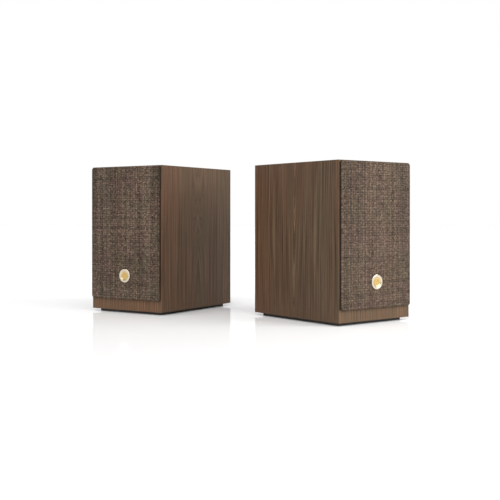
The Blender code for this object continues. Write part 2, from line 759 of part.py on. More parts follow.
def build_power_inlet(speaker, x, z):
    """A two-pin mains inlet: an open-fronted housing with a pin on each side of its middle."""
    front = PLATE_FACE + 0.0006
    shape = bmesh.new()
    add_span(shape, (x - 0.0110, PLATE_FACE - 0.0200, z - 0.0065), (x + 0.0110, front, z + 0.0065))
    inlet = speaker.piece("power_inlet", shape, "black_plastic")
    hollow = bmesh.new()
    hollow_low = (x - 0.0084, PLATE_FACE - 0.0140, z - 0.0044)
    add_span(hollow, hollow_low, (x + 0.0084, front + PAST, z + 0.0044))
    boolean(inlet, speaker.cutter("inlet_hollow", hollow))
    pins = bmesh.new()
    for side in (-1, 1):
        add_cylinder(pins, (x + side * 0.0046, PLATE_FACE - 0.0035, z), 0.0011, 0.0125, REAR)
    boolean(inlet, speaker.cutter("inlet_pins", pins), "UNION")


def build_power_switch(speaker, x, z):
    """A rocker that turns about its own X axis, standing with its upper half pressed in."""
    rocker = bmesh.new()
    outline = [(-0.0072, 0.0030), (-0.0062, -0.0060), (0.0062, -0.0060), (0.0072, 0.0030), (0, 0.0018)]
    points = [rocker.verts.new((-0.0050, depth, height)) for height, depth in outline]
    face = rocker.faces.new(points)
    made = bmesh.ops.extrude_face_region(rocker, geom=[face])["geom"]
    moved = [v for v in made if isinstance(v, bmesh.types.BMVert)]
    bmesh.ops.translate(rocker, vec=(0.0100, 0, 0), verts=moved)
    bmesh.ops.recalc_face_normals(rocker, faces=rocker.faces)
    place = (x, PLATE_FACE - 0.0010, z)
    speaker.piece("power_switch", rocker, "black_plastic", place, (ROCKER_TILT, 0, 0))


def build_sockets(speaker, sockets):
    """Three phono jacks, a flat digital socket, and a square optical one whose shutter is closed.

    They stand on one bracket behind the plate.
    """
    bracket_depth, jack_reach, lip = 0.0120, 0.0090, 0.0006
    bracket = bmesh.new()
    bracket_low = (-0.0180, PLATE_FACE - bracket_depth - 0.0030, 0.0880)
    add_span(bracket, bracket_low, (0.0385, PLATE_FACE - bracket_depth, 0.1340))
    rounds = bmesh.new()
    for x, z in sockets["jacks"]:
        length = jack_reach + bracket_depth + OVERLAP
        add_cylinder(rounds, (x, PLATE_FACE + jack_reach, z), JACK_RADIUS, length, REAR)
    collars = bmesh.new()
    for x, z in sockets["jacks"]:
        add_cylinder(collars, (x, PLATE_FACE + 0.0015, z), 0.0058, 0.0012, REAR)
    digital = (
        (sockets["wide"], (0.0152, 0.0060), (0.0140, 0.0046), 0.0085),
        (sockets["square"], (0.0100, 0.0100), (0.0074, 0.0074), 0.0026),
    )
    squares, hollows = bmesh.new(), bmesh.new()
    for (x, z), (width, height), (inside_width, inside_height), depth in digital:
        low = (x - width / 2, PLATE_FACE - bracket_depth - OVERLAP, z - height / 2)
        add_span(squares, low, (x + width / 2, PLATE_FACE + lip, z + height / 2))
        low = (x - inside_width / 2, PLATE_FACE - depth, z - inside_height / 2)
        add_span(hollows, low, (x + inside_width / 2, PLATE_FACE + lip + PAST, z + inside_height / 2))
    for x, z in sockets["jacks"]:
        add_cylinder(hollows, (x, PLATE_FACE + jack_reach + PAST, z), JACK_BORE, 0.0180, REAR)
    piece = speaker.piece("audio_sockets", bracket, "nickel")
    boolean(piece, speaker.cutter("socket_rounds", rounds), "UNION")
    boolean(piece, speaker.cutter("socket_collars", collars), "UNION")
    boolean(piece, speaker.cutter("socket_squares", squares), "UNION")
    boolean(piece, speaker.cutter("socket_hollows", hollows))


def build_amplifier_board(speaker, middle):
    """A board on posts behind the plate, carrying a transformer, capacitors and a heat sink."""
    board = bmesh.new()
    add_span(board, (-0.046, AMPLIFIER_FRONT, middle - 0.047), (0.046, AMPLIFIER_BACK, middle + 0.047))
    root = AMPLIFIER_FRONT + OVERLAP
    parts = bmesh.new()
    add_span(parts, (-0.042, root - 0.030, middle - 0.044), (-0.006, root, middle - 0.008))
    for x in (0.010, 0.032):
        for z in (-0.036, -0.014):
            add_cylinder(parts, (x, root - 0.026, middle + z), 0.0095, 0.026, FRONT)
    post = PLATE_BACK - CLEARANCE
    for x in (-0.0425, 0.0425):
        for z in (-0.018, 0.043):
            add_cylinder(parts, (x, post, middle + z), 0.0030, post - AMPLIFIER_BACK + OVERLAP, REAR)
    add_prism(parts, heat_sink_outline(middle + 0.006, middle + 0.036), root - 0.024, root)
    piece = speaker.piece("amplifier_board", board, "circuit_board")
    boolean(piece, speaker.cutter("amplifier_parts", parts), "UNION")


def heat_sink_outline(bottom, top):
    """A comb of (x, z) points: a bar along its bottom with fins standing on it."""
    half, bar, fin, pitch = 0.040, 0.004, 0.004, 0.010
    outline = [(-half, bottom), (half, bottom), (half, bottom + bar)]
    for i in reversed(range(round(2 * half / pitch))):
        left = i * pitch - half
        outline += [(left + fin, bottom + bar), (left + fin, top), (left, top)]
        if i:
            outline.append((left, bottom + bar))
    return outline


# Inside


def build_pad(speaker):
    shape = bmesh.new()
    top = INNER_TOP - 0.0010
    add_span(shape, (-0.060, -0.066, top - PAD_THICKNESS), (0.060, 0.070, top))
    piece = speaker.piece("damping_pad", shape, "wadding")
    bevel(piece, 0.004)


def lead_cutter(speaker, name, route):
    """A lead as a mesh tube along a smooth curve through its route."""
    curve = bpy.data.curves.new(name, "CURVE")
    curve.dimensions = "3D"
    curve.bevel_depth = LEAD_RADIUS
    curve.bevel_resolution = 2
    curve.use_fill_caps = True
    points = smooth_route(route, 3)
    spline = curve.splines.new("POLY")
    spline.points.add(len(points) - 1)
    for point, place in zip(spline.points, points):
        point.co = (*place, 1)
    wire = bpy.data.objects.new(name, curve)
    speaker.cutters.objects.link(wire)
    evaluated = wire.evaluated_get(bpy.context.evaluated_depsgraph_get())
    shape = bmesh.new()
    tube = bpy.data.meshes.new_from_object(evaluated)
    shape.from_mesh(tube)
    bpy.data.meshes.remove(tube)
    bpy.data.objects.remove(wire)
    bmesh.ops.remove_doubles(shape, verts=shape.verts, dist=0.00001)
    bmesh.ops.recalc_face_normals(shape, faces=shape.faces)
    return speaker.cutter(name, shape)


def build_wiring(speaker, connector, tweeter_start, woofer_start):
    """The harness: a connector on the board, with a lead to the tweeter and one to the woofer."""
    tweeter_end = BAFFLE_FRONT + TWEETER_BACK + 2 * CLEARANCE
    woofer_end = BAFFLE_FRONT + WOOFER_BACK + 2 * CLEARANCE
    tweeter_route = [
        *tweeter_start,
        (-0.045, -0.034, 0.178),
        (-0.014, tweeter_end + 0.020, 0.204),
        (0, tweeter_end + 0.010, TWEETER_HEIGHT),
        (0, tweeter_end + 0.004, TWEETER_HEIGHT),
        (0, tweeter_end, TWEETER_HEIGHT),
    ]
    woofer_route = [
        *woofer_start,
        (0.012, -0.034, 0.156),
        (0, -0.058, 0.153),
        (0, woofer_end + 0.009, WOOFER_HEIGHT + 0.0384),
        (0, woofer_end + 0.004, WOOFER_HEIGHT + 0.0362),
        (0, woofer_end, WOOFER_HEIGHT + 0.0360),
    ]
    shape = bmesh.new()
    add_span(shape, *connector)
    piece = speaker.piece("wiring", shape, "wire")
    boolean(piece, lead_cutter(speaker, "tweeter_lead", tweeter_route), "UNION")
    boolean(piece, lead_cutter(speaker, "woofer_lead", woofer_route), "UNION")


def build_common(speaker):
    build_base(speaker)
    build_cabinet(speaker)
    build_baffle(speaker)
    build_grille(speaker)
    build_woofer(speaker)
    build_tweeter(speaker)
    build_port(speaker)
    build_pad(speaker)


def build_passive(speaker):
    build_common(speaker)
    build_passive_back(speaker)
    build_crossover(speaker)
    base = CROSSOVER_TOP + CLEARANCE
    top = base + 0.0090
    build_wiring(
        speaker,
        ((-0.032, 0.049, base), (-0.012, 0.058, top)),
        [(-0.028, 0.0535, top - 0.002), (-0.030, 0.0500, top + 0.012), (-0.050, 0.010, 0.110)],
        [(-0.016, 0.0535, top - 0.002), (-0.012, 0.0520, top + 0.016), (0.010, 0.020, 0.120)],
    )


def build_active(speaker):
    build_common(speaker)
    build_active_back(speaker)
    base = AMPLIFIER_FRONT - CLEARANCE
    front = base - 0.0090
    build_wiring(
        speaker,
        ((-0.010, front, 0.1310), (0.010, base, 0.1390)),
        [(-0.006, front + 0.002, 0.135), (-0.008, front - 0.012, 0.138), (-0.045, 0.012, 0.160)],
        [(0.006, front + 0.002, 0.135), (0.008, front - 0.012, 0.137), (0.020, 0.010, 0.150)],
    )


def footprint(middle, yaw):
    """The corners of a speaker on the floor plan: its cabinet's, and its grille's in front of them."""
    corners = [(sx * HALF_WIDTH, sy * HALF_DEPTH) for sx in (-1, 1) for sy in (-1, 1)]
    corners += [(side * GRILLE_HALF, GRILLE_FRONT) for side in (-1, 1)]
    turn = Matrix.Rotation(yaw, 2)
    return [middle + turn @ Vector(c) for c in corners]


def pair_middles():
    """Where the two speakers stand, so that the origin is under the middle of the pair's box."""
    corners = footprint(LEFT_FROM_RIGHT, LEFT_YAW) + footprint(Vector((0, 0)), RIGHT_YAW)
    xs, ys = [c.x for c in corners], [c.y for c in corners]
    middle = Vector(((min(xs) + max(xs)) / 2, (min(ys) + max(ys)) / 2))
    return LEFT_FROM_RIGHT - middle, -middle


def main():
    clear_scene()
    parts = new_collection("desktop_speakers")
    cutters = new_collection("cutters")
    left_middle, right_middle = pair_middles()
    build_passive(Speaker("left", LEFT_YAW, left_middle, parts, cutters))
    build_active(Speaker("right", RIGHT_YAW, right_middle, parts, cutters))
    shade(parts)


main()
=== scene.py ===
import json
import math

import bmesh
import bpy
from mathutils import Matrix, Vector, noise


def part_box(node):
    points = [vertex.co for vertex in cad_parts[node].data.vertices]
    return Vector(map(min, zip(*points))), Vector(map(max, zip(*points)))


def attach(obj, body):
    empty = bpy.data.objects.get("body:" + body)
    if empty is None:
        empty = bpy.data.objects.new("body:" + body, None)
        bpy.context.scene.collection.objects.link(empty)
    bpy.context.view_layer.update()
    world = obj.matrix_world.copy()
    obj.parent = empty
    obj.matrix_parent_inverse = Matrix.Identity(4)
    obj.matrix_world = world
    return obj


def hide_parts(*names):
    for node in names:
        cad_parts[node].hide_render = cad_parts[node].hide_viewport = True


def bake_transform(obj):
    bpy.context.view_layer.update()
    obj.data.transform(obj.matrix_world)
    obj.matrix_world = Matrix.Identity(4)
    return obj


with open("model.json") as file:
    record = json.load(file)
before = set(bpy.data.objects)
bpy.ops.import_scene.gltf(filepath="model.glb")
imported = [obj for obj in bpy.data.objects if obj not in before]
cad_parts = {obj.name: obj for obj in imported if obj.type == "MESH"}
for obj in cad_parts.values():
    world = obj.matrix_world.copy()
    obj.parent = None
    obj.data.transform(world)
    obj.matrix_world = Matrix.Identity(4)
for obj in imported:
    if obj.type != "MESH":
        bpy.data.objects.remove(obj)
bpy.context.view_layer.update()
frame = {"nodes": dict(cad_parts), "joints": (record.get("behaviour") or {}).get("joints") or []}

# The looks of a pair of desktop speakers, in metres and in the CAD's frame: +Z is up, and -Y is the side that
# the pair is looked at from. A speaker's own frame has X to the right of someone facing its front, Y from its
# front to its back, and its origin on the floor under the middle of its cabinet.

NODES = frame["nodes"]
JOINTS = {joint["name"]: joint for joint in frame["joints"]}
SIDES = ("left", "right")

# The view: a level camera in front of the pair, lower than their tops
CAMERA_PLACE = (0.0111, -1.6143, 0.1775)
LENS = 63.96
SENSOR = 36.0
SHIFT_UP = -0.0705

# How finely pieces are made
ROUND = 96  # facets round a turned piece
SMALL_ROUND = 48
GAP = 0.0003  # between pieces that touch
FIT = 0.0001  # between a small part and the recess that it sits in
PAST = 0.001  # how far a cutting shape runs past what it cuts
MERGE = 0.000005  # vertices this close are one

# Sizes that only the visual model has
CABINET_EDGE = 0.0007  # radius of the veneered edges
CLOTH_EDGE = 0.0016  # radius that the cloth turns round the frame with
CLOTH_CORNER = 0.0045
CLOTH_HEM = 0.0080  # how far it is tucked behind the frame
YARN = (0.0026, 0.00195)  # pitch of the weave, across and up
FRAME_INSET = 0.0010  # from the cloth's sides to the frame's
FRAME_RIM = 0.0130
FRAME_DEPTH = 0.0029
BADGE_GAP = 0.0007  # between the badge and the cloth round it
BADGE_SEAT = 0.0012  # how much wider the boss behind the badge is than the cloth's hole
SPUR = 0.0060  # half the width of the spur up to the boss, and how far above the frame's foot it starts
PEG_RADIUS = 0.0045
PEG_INSET = (0.0072, 0.0218)  # from the cabinet's inner side, and from the frame's ends
MAGNET = (0.0032, 0.0030)  # radius, thickness
KEEPER = (0.0060, 0.0012)
SCREW_HEAD = (0.0031, 0.0016)  # radius, height
TERMINAL_PITCH = 0.0190
FOOT = 0.003  # radius of a board's feet and posts
BOARD = 0.0016  # thickness of a circuit board

# The basket's windows: from and to these radii, from and to these depths behind its flange, half their width
BASKET_WINDOW = (0.033, 0.053, 0.00825, 0.02075, 0.015)
WINDOWS = 6

# For each driver: the radius of its hole, the depth of its rebate, and the radius and number of its screws
DRIVERS = {"woofer_basket": (0.0495, 0.0035, 0.0544, 6), "tweeter_faceplate": (0.0262, 0.0033, 0.0302, 4)}

# The back: its openings are centred at (x, z) in the speaker's frame
PORT_HOLE = 0.0218
WINDOW_MARGIN = 0.0095  # how much smaller the panel's window is than the plate over it
WINDOW_PAST = 0.02  # how far its cutting shape runs past the plate at the front and at the back
REAR_SCREW_INSET = 0.0052
REAR_SCREW_HEIGHTS = (0.045, 0.140, 0.235)
PLATE_SCREW_INSET = 0.0050
INLET = (0.034, 0.057)
SWITCH = (0.008, 0.057)
PAIRING = (-0.030, 0.095)
JACKS = ((0.030, 0.127), (0.010, 0.127), (-0.010, 0.127))
WIDE_SOCKET = (0.030, 0.095)
SQUARE_SOCKET = (0.004, 0.095)
SOCKET_DEPTH = 0.0120
ACTIVE_TERMINALS = (-0.028, 0.057)
PASSIVE_TERMINALS = (0.0, 0.082)

# What differs between the wood and the cloth of the two speakers
FIGURES = {"left": (0, 1.0, 0.9, 0.75, -0.7), "right": (1, -1.0, 1.0, 1.4, 0.7)}
WOOD_LIGHT = {"left": 1.0, "right": 0.92}
CLOTH_CONTRAST = {"left": 1.0, "right": 0.82}

FRONT = Matrix.Rotation(math.pi / 2, 4, "X")  # turns +Z to a speaker's front
REAR = Matrix.Rotation(-math.pi / 2, 4, "X")


# Materials: helpers for node trees, then a function for each kind of finish


class Value:
    """A node's output. Arithmetic with it adds maths nodes to its tree."""

    def __init__(self, tree, socket):
        self.tree = tree
        self.socket = socket

    def __add__(self, other):
        return self.tree.math("ADD", self, other)

    def __sub__(self, other):
        return self.tree.math("SUBTRACT", self, other)

    def __mul__(self, other):
        return self.tree.math("MULTIPLY", self, other)

    def __truediv__(self, other):
        return self.tree.math("DIVIDE", self, other)

    def __pow__(self, other):
        return self.tree.math("POWER", self, other)


class Tree:
    """The node tree of a material or of the world."""

    def __init__(self, owner):
        owner.use_nodes = True
        self.tree = owner.node_tree

    def feed(self, node, socket, value):
        """Gives a socket a number or colour, or links another node's output to it."""
        if isinstance(value, Value):
            self.tree.links.new(value.socket, node.inputs[socket])
        else:
            node.inputs[socket].default_value = value

    def add(self, kind, inputs=(), output=0, **settings):
        """One output of a new node. The settings come first, as they can change a node's sockets."""
        node = self.tree.nodes.new(kind)
        for name, value in settings.items():
            setattr(node, name, value)
        for socket, value in dict(inputs).items():
            self.feed(node, socket, value)
        return Value(self, node.outputs[output])

    def math(self, operation, first, second=0.0):
        return self.add("ShaderNodeMath", {0: first, 1: second}, operation=operation)

    def split(self, vector):
        node = self.add("ShaderNodeSeparateXYZ", {0: vector}).socket.node
        return [Value(self, socket) for socket in node.outputs]

    def span(self, value, low, high, start=0.0, end=1.0):
        """A value spread from start..end to low..high."""
        inputs = {"Value": value, "To Min": low, "To Max": high, "From Min": start, "From Max": end}
        return self.add("ShaderNodeMapRange", inputs)


class Shader(Tree):
    """A material with its Principled shader and its object coordinates."""

    def __init__(self, name, colour, roughness, metallic=0.0, **sockets):
        self.material = bpy.data.materials.new(name)
        super().__init__(self.material)
        self.principled = self.tree.nodes["Principled BSDF"]
        self.colour, self.roughness = colour, roughness
        uniform = {"Base_Color": (*colour, 1.0), "Roughness": roughness, "Metallic": metallic, **sockets}
        for socket, value in uniform.items():
            self.set(socket.replace("_", " "), value)
        self.object = self.add("ShaderNodeTexCoord", output="Object")

    def set(self, socket, value):
        self.feed(self.principled, socket, value)

    def join(self, x, y, z):
        return self.add("ShaderNodeCombineXYZ", {0: x, 1: y, 2: z})

    def scaled(self, x, y=None, z=None):
        """The object coordinates times a factor along each axis."""
        factors = (x, x if y is None else y, x if z is None else z)
        return self.add("ShaderNodeMapping", {"Vector": self.object, "Scale": factors})

    def noise(self, vector, detail=2.0, rough=0.5):
        inputs = {"Vector": vector, "Scale": 1.0, "Detail": detail, "Roughness": rough}
        return self.add("ShaderNodeTexNoise", inputs, "Fac")

    def stripes(self, value, detail, rough):
        inputs = {"W": value, "Scale": 1.0, "Detail": detail, "Roughness": rough}
        return self.add("ShaderNodeTexNoise", inputs, "Fac", noise_dimensions="1D")

    def chance(self, x, y, seed):
        """A random grey for each whole (x, y)."""
        inputs = {"Vector": self.join(x, y, seed)}
        return self.add("ShaderNodeTexWhiteNoise", inputs, "Value", noise_dimensions="3D")

    def ramp(self, value, stops):
        """A colour ramp. Stops are (position, grey or colour)."""
        result = self.add("ShaderNodeValToRGB", {0: value}, "Color")
        elements = result.socket.node.color_ramp.elements
        while len(elements) < len(stops):
            elements.new(0.5)
        for element, (position, colour) in zip(elements, stops):
            element.position = position
            element.color = (*colour, 1.0) if hasattr(colour, "__len__") else (colour, colour, colour, 1.0)
        return result

    def mix(self, share, first, second, blend="MIX"):
        first, second = [(*c, 1.0) if isinstance(c, tuple) else c for c in (first, second)]
        inputs = {0: share, 6: first, 7: second}
        return self.add("ShaderNodeMix", inputs, 2, data_type="RGBA", blend_type=blend)

    def toned(self, colour, light):
        return self.mix(1.0, colour, self.join(light, light, light), "MULTIPLY")

    def floor(self, value):
        return self.math("FLOOR", value)

    def humps(self, u, v):
        """Smooth mounds, one between each two whole numbers both ways."""
        rise = [self.math("SINE", self.math("FRACT", value) * math.pi) for value in (u, v)]
        return self.math("SQRT", rise[0] * rise[1])

    def radius(self, upright=False):
        x, y, z = self.split(self.object)
        other = y if upright else z
        return self.math("SQRT", x * x + other * other)

    def mottle(self, share, factor, lift=0.0):
        """Moves the colour towards a paler or darker one."""
        other = tuple(min(1.0, factor * c + lift) for c in self.colour)
        self.set("Base Color", self.mix(share, self.colour, other))

    def polish(self, share, low, high):
        """Spreads the roughness between two factors of it."""
        self.set("Roughness", self.span(share, low * self.roughness, min(1.0, high * self.roughness)))

    def bump(self, height, depth, strength):
        inputs = {"Height": height, "Distance": depth, "Strength": strength}
        self.set("Normal", self.add("ShaderNodeBump", inputs))
        return self.material


def walnut(name, along, figure, light):
    """Veneer whose grain runs along Z or X, with a narrow pointed figure up the middle of each side.

    Figure is (seed, which way its points look, contrast of its streaks and of its fine grain, and how much
    redder the back is than the front).
    """
    wood = Shader(name, (0.10, 0.06, 0.035), 0.5, Specular_IOR_Level=0.22)
    seed, lean, contrast, fine, back_red = figure
    x, y, z = wood.split(wood.object)
    if along == "X":
        x, z = z, x
    blunt, spread = 0.0015, 0.014  # the radius of the figure's points, and how far it goes to each side
    drift = wood.noise(wood.join(x * 9, y * 9, z * 7), 1.0)
    middle = y + (drift - 0.5) * 0.009
    squared = middle * middle
    arch = wood.math("SQRT", squared + blunt**2)
    near = wood.math("POWER", math.e, squared * (-1 / spread**2))
    ring = arch + z * near * (0.095 * lean) + x * 1.7 + (seed * 3.1 + 1.0)
    side = y + x * 2.3 + seed * 5.0
    long_streak = wood.noise(wood.join(ring * 560, z * 4, 0.0), 3.0, 0.75)
    hair = wood.noise(wood.join(ring * 480, z * 5, 4.0), 2.0, 0.6)
    broad = wood.noise(wood.join(side * 24, z * 2.2, 8.0), 3.0, 0.65)
    patch = wood.noise(wood.join(side * 16, z * 7, 2.0), 2.0)
    pores = wood.noise(wood.join(side * 1900, z * 55, 6.0), 2.0)
    hues = [(0.32, (0.083, 0.054, 0.0295)), (0.50, (0.093, 0.052, 0.0280)), (0.68, (0.105, 0.0515, 0.0265))]
    hue = wood.ramp(broad + y * back_red, hues)
    streaks = wood.ramp(long_streak, [(0.28, 0.38), (0.43, 0.80), (0.55, 1.10), (0.72, 1.75)]) ** contrast
    tone = wood.span(hair, -fine, fine) + wood.span(patch, -0.20, 0.20) + 1.0
    dark = wood.ramp(pores, [(0.30, 1.0), (0.40, 0.0)])
    surface = wood.toned(hue, tone * streaks * light)
    wood.set("Base Color", wood.mix(dark * 0.45, surface, (0.024, 0.015, 0.009)))
    wood.set("Roughness", wood.span(long_streak, 0.62, 0.44))
    return wood.bump(dark * -0.7 + hair * 0.4, 0.00012, 0.5)


def tweed(name, seed, contrast, light):
    """A basket weave of paired yarns. Each yarn changes shade in dashes, and single crossings stand out."""
    sheen = {"Sheen_Weight": 0.05, "Sheen_Roughness": 0.5}
    cloth = Shader(name, (0.12, 0.085, 0.06), 0.95, Specular_IOR_Level=0.08, **sheen)
    x, y, z = cloth.split(cloth.object)
    shift = (cloth.noise(cloth.scaled(40), 1.0) - 0.5) * 0.0008
    u = (x + y + shift) / YARN[0]
    v = (z + y - shift) / YARN[1]
    column, row = cloth.floor(u), cloth.floor(v)
    over = cloth.math("PINGPONG", cloth.floor(u * 0.5) + cloth.floor(v * 0.5), 1.0)
    weft = cloth.chance(cloth.floor(u * 0.40 + row * 0.37), row, seed + 1)
    warp = cloth.chance(column, cloth.floor(v * 0.26 + column * 0.61), seed + 2)
    yarn = cloth.add("ShaderNodeMix", {0: over, 2: weft + 0.06, 3: warp - 0.06})
    fleck = cloth.chance(column, row, seed + 3)
    own = cloth.chance(row, 0.0, seed + 4) * 0.15 + cloth.chance(column, 0.0, seed + 6) * 0.21
    bands = cloth.noise(cloth.join(column * 0.15, v * 0.008, seed + 3), 1.0)
    value = yarn * 0.32 + fleck * 0.34 + own + cloth.span(bands, -0.26, 0.26)
    shades = [(0.14, 0.34), (0.38, 0.74), (0.58, 1.08), (0.84, 2.00)]
    grey = cloth.ramp(value, shades) ** contrast
    tint = cloth.noise(cloth.join(column * 0.11, v * 0.04, seed + 5), 1.0)
    hues = [(0.36, (0.095, 0.070, 0.048)), (0.50, (0.100, 0.069, 0.049)), (0.64, (0.104, 0.068, 0.051))]
    # The colour is darkened down the gaps between yarns and between pairs of yarns, following the yarns'
    # height: painted shade in the weave's hollows.
    pair, single = cloth.humps(u * 0.5, v * 0.5), cloth.humps(u, v)
    fibre = cloth.noise(cloth.scaled(2600), 3.0, 0.7)
    depth = cloth.span(pair, 0.64, 1.20) * cloth.span(single, 0.38, 1.30)
    depth = depth * cloth.span(fibre, 0.80 * light, 1.25 * light)
    cloth.set("Base Color", cloth.toned(cloth.ramp(tint, hues), grey * depth))
    return cloth.bump(pair + single * 0.7 + fibre * 0.35, 0.0006, 0.9)


def moulded(name, colour, roughness, grain=0.00004, scale=2400, coat=0.0):
    """Moulded plastic, rubber or powder coat: a fine texture, with a little dust and wear in the gloss."""
    shell = Shader(name, colour, roughness, Coat_Weight=coat)
    cloud = shell.noise(shell.scaled(45), 4.0, 0.6)
    shell.mottle(cloud, 1.35, 0.004)
    shell.polish(cloud, 0.85, 1.15)
    return shell.bump(shell.noise(shell.scaled(scale), 2.0, 0.6), grain, 0.6)


def turned_metal(name, colour, roughness, ring_depth, pitch=0.0002):
    """Spun metal: fine rings round its axis, and a little unevenness in the polish."""
    metal = Shader(name, colour, roughness, 1.0)
    metal.polish(metal.noise(metal.scaled(180), 3.0), 0.7, 1.35)
    return metal.bump(metal.stripes(metal.radius() * (1 / pitch), 2.0, 0.7), ring_depth, 0.5)


def plated(name, colour, roughness, stretch, grain=0.00001):
    """Plated or rolled metal: a drawn grain, and patches of slightly different gloss."""
    metal = Shader(name, colour, roughness, 1.0)
    cloud = metal.noise(metal.scaled(90), 4.0, 0.6)
    metal.mottle(cloud, 1.18)
    metal.polish(cloud, 0.7, 1.4)
    return metal.bump(metal.noise(metal.scaled(*stretch), 3.0, 0.6), grain, 0.5)


def winding(name, colour, pitch, upright):
    """Enamelled wire wound side by side."""
    wire = Shader(name, colour, 0.32, 1.0)
    wire.mottle(wire.noise(wire.scaled(300), 3.0), 0.62)
    along = wire.split(wire.object)[2 if upright else 1]
    turns = wire.math("SINE", (along + wire.radius(upright)) * (math.tau / pitch))
    return wire.bump(turns, pitch * 0.4, 0.8)


def fabric(name, colour, pitch, rough=0.9, depth=0.0001):
    """Fine woven cloth, such as a silk dome or a spider."""
    cloth = Shader(name, colour, rough)
    x, _, z = cloth.split(cloth.object)
    weave = cloth.math("SINE", x * (math.tau / pitch)) * cloth.math("SINE", z * (math.tau / pitch))
    cloud = cloth.noise(cloth.scaled(120), 3.0)
    cloth.mottle(cloud, 1.5, 0.01)
    return cloth.bump(weave + cloud, depth, 0.7)


def fibrous(name, colour, rough, scale, depth):
    """Pressed or loose fibres: paper pulp or wadding."""
    pulp = Shader(name, colour, rough)
    warp = pulp.noise(pulp.scaled(scale), 5.0, 0.75)
    strands = pulp.noise(pulp.scaled(scale * 4, scale * 0.7, scale * 2), 3.0, 0.6)
    pulp.mottle(strands, 1.45, 0.012)
    return pulp.bump(warp + strands, depth, 0.8)


def circuit(name):
    """Solder mask over a copper pattern, with the bare pads showing."""
    board = Shader(name, (0.012, 0.075, 0.035), 0.28, Coat_Weight=0.4)
    inputs = {"Vector": board.scaled(1), "Scale": 60.0, "Mortar Size": 0.06, "Mortar Smooth": 0.1}
    tracks = board.add("ShaderNodeTexBrick", inputs, "Fac")
    pads = board.add("ShaderNodeTexVoronoi", {"Vector": board.scaled(1), "Scale": 170.0}, "Distance")
    green = board.mix(tracks, (0.010, 0.070, 0.032), (0.026, 0.150, 0.062))
    dots = board.ramp(pads, [(0.16, 1.0), (0.20, 0.0)])
    board.set("Base Color", board.mix(dots, green, (0.42, 0.40, 0.36)))
    return board.bump(tracks, 0.00005, 0.6)


def shared_finishes():
    """The materials that both speakers use, by name, each with its slot."""
    rows = [
        ("black_board", moulded, "board_paint", (0.017, 0.016, 0.015), 0.62, 0.00008, 1500),
        ("base_rubber", moulded, "base_rubber", (0.045, 0.042, 0.038), 0.75, 0.00006, 1800),
        ("frame_plastic", moulded, "frame_plastic", (0.016, 0.015, 0.014), 0.50),
        ("badge_brass", turned_metal, "brass_rim", (0.66, 0.57, 0.44), 0.16, 0.000006),
        ("badge_brass", turned_metal, "brass_dish", (0.56, 0.46, 0.27), 0.20, 0.00001),
        ("badge_brass", turned_metal, "brass_centre", (0.60, 0.40, 0.14), 0.26, 0.00002),
        ("basket_metal", moulded, "basket_powder_coat", (0.020, 0.020, 0.021), 0.45, 0.00010, 1300),
        ("ferrite", moulded, "magnet_ferrite", (0.040, 0.040, 0.044), 0.55, 0.00012, 900),
        ("zinc_steel", plated, "zinc_steel", (0.48, 0.48, 0.46), 0.34, (250, 900, 250)),
        ("nickel", plated, "nickel_plate", (0.60, 0.57, 0.52), 0.22, (1500, 200, 1500)),
        ("basket_metal", plated, "black_oxide_screws", (0.060, 0.060, 0.064), 0.38, (900, 900, 900)),
        ("cone_paper", fibrous, "coated_pulp", (0.026, 0.025, 0.024), 0.62, 420, 0.00022),
        ("surround_rubber", moulded, "surround_rubber", (0.020, 0.020, 0.020), 0.42, 0.00002, 900),
        ("spider_cloth", fabric, "spider_cotton", (0.48, 0.29, 0.10), 0.0009),
        ("copper_wire", winding, "coil_copper", (0.72, 0.34, 0.19), 0.0009, True),
        ("copper_wire", winding, "voice_coil_copper", (0.72, 0.36, 0.20), 0.0003, False),
        ("dome_silk", fabric, "dome_silk", (0.030, 0.029, 0.029), 0.0003, 0.55, 0.00003),
        ("satin_plastic", moulded, "satin_plastic", (0.018, 0.018, 0.019), 0.42, 0.00003, 2600),
        ("gloss_black_plastic", moulded, "gloss_plastic", (0.012,) * 3, 0.14, 0.000005, 900, 0.3),
        ("red_plastic", moulded, "red_plastic", (0.48, 0.016, 0.014), 0.30, 0.00002, 2000),
        ("satin_plastic", moulded, "white_plastic", (0.72, 0.71, 0.68), 0.35, 0.00002, 2000),
        ("wadding", fibrous, "polyester_wadding", (0.66, 0.65, 0.62), 1.0, 260, 0.0016),
        ("circuit_board", circuit, "solder_mask"),
        ("circuit_board", moulded, "capacitor_sleeve", (0.016, 0.030, 0.085), 0.30, 0.00002, 600),
        ("circuit_board", moulded, "resistor_ceramic", (0.62, 0.60, 0.54), 0.70, 0.00010, 1500),
        ("zinc_steel", plated, "heat_sink_aluminium", (0.62, 0.62, 0.63), 0.36, (200, 200, 1400)),
        ("zinc_steel", plated, "transformer_steel", (0.30, 0.30, 0.31), 0.45, (2200, 200, 200), 0.00006),
        ("amplifier_plate", moulded, "amplifier_plate_paint", (0.022, 0.022, 0.023), 0.50, 0.00007, 1700),
        ("wire_sleeve", moulded, "wire_sleeve", (0.34, 0.020, 0.017), 0.40, 0.00002, 1500),
        ("satin_plastic", moulded, "shutter_plastic", (0.10, 0.10, 0.105), 0.40),
    ]
    return {name: (kind(name, *numbers), slot) for slot, kind, name, *numbers in rows}


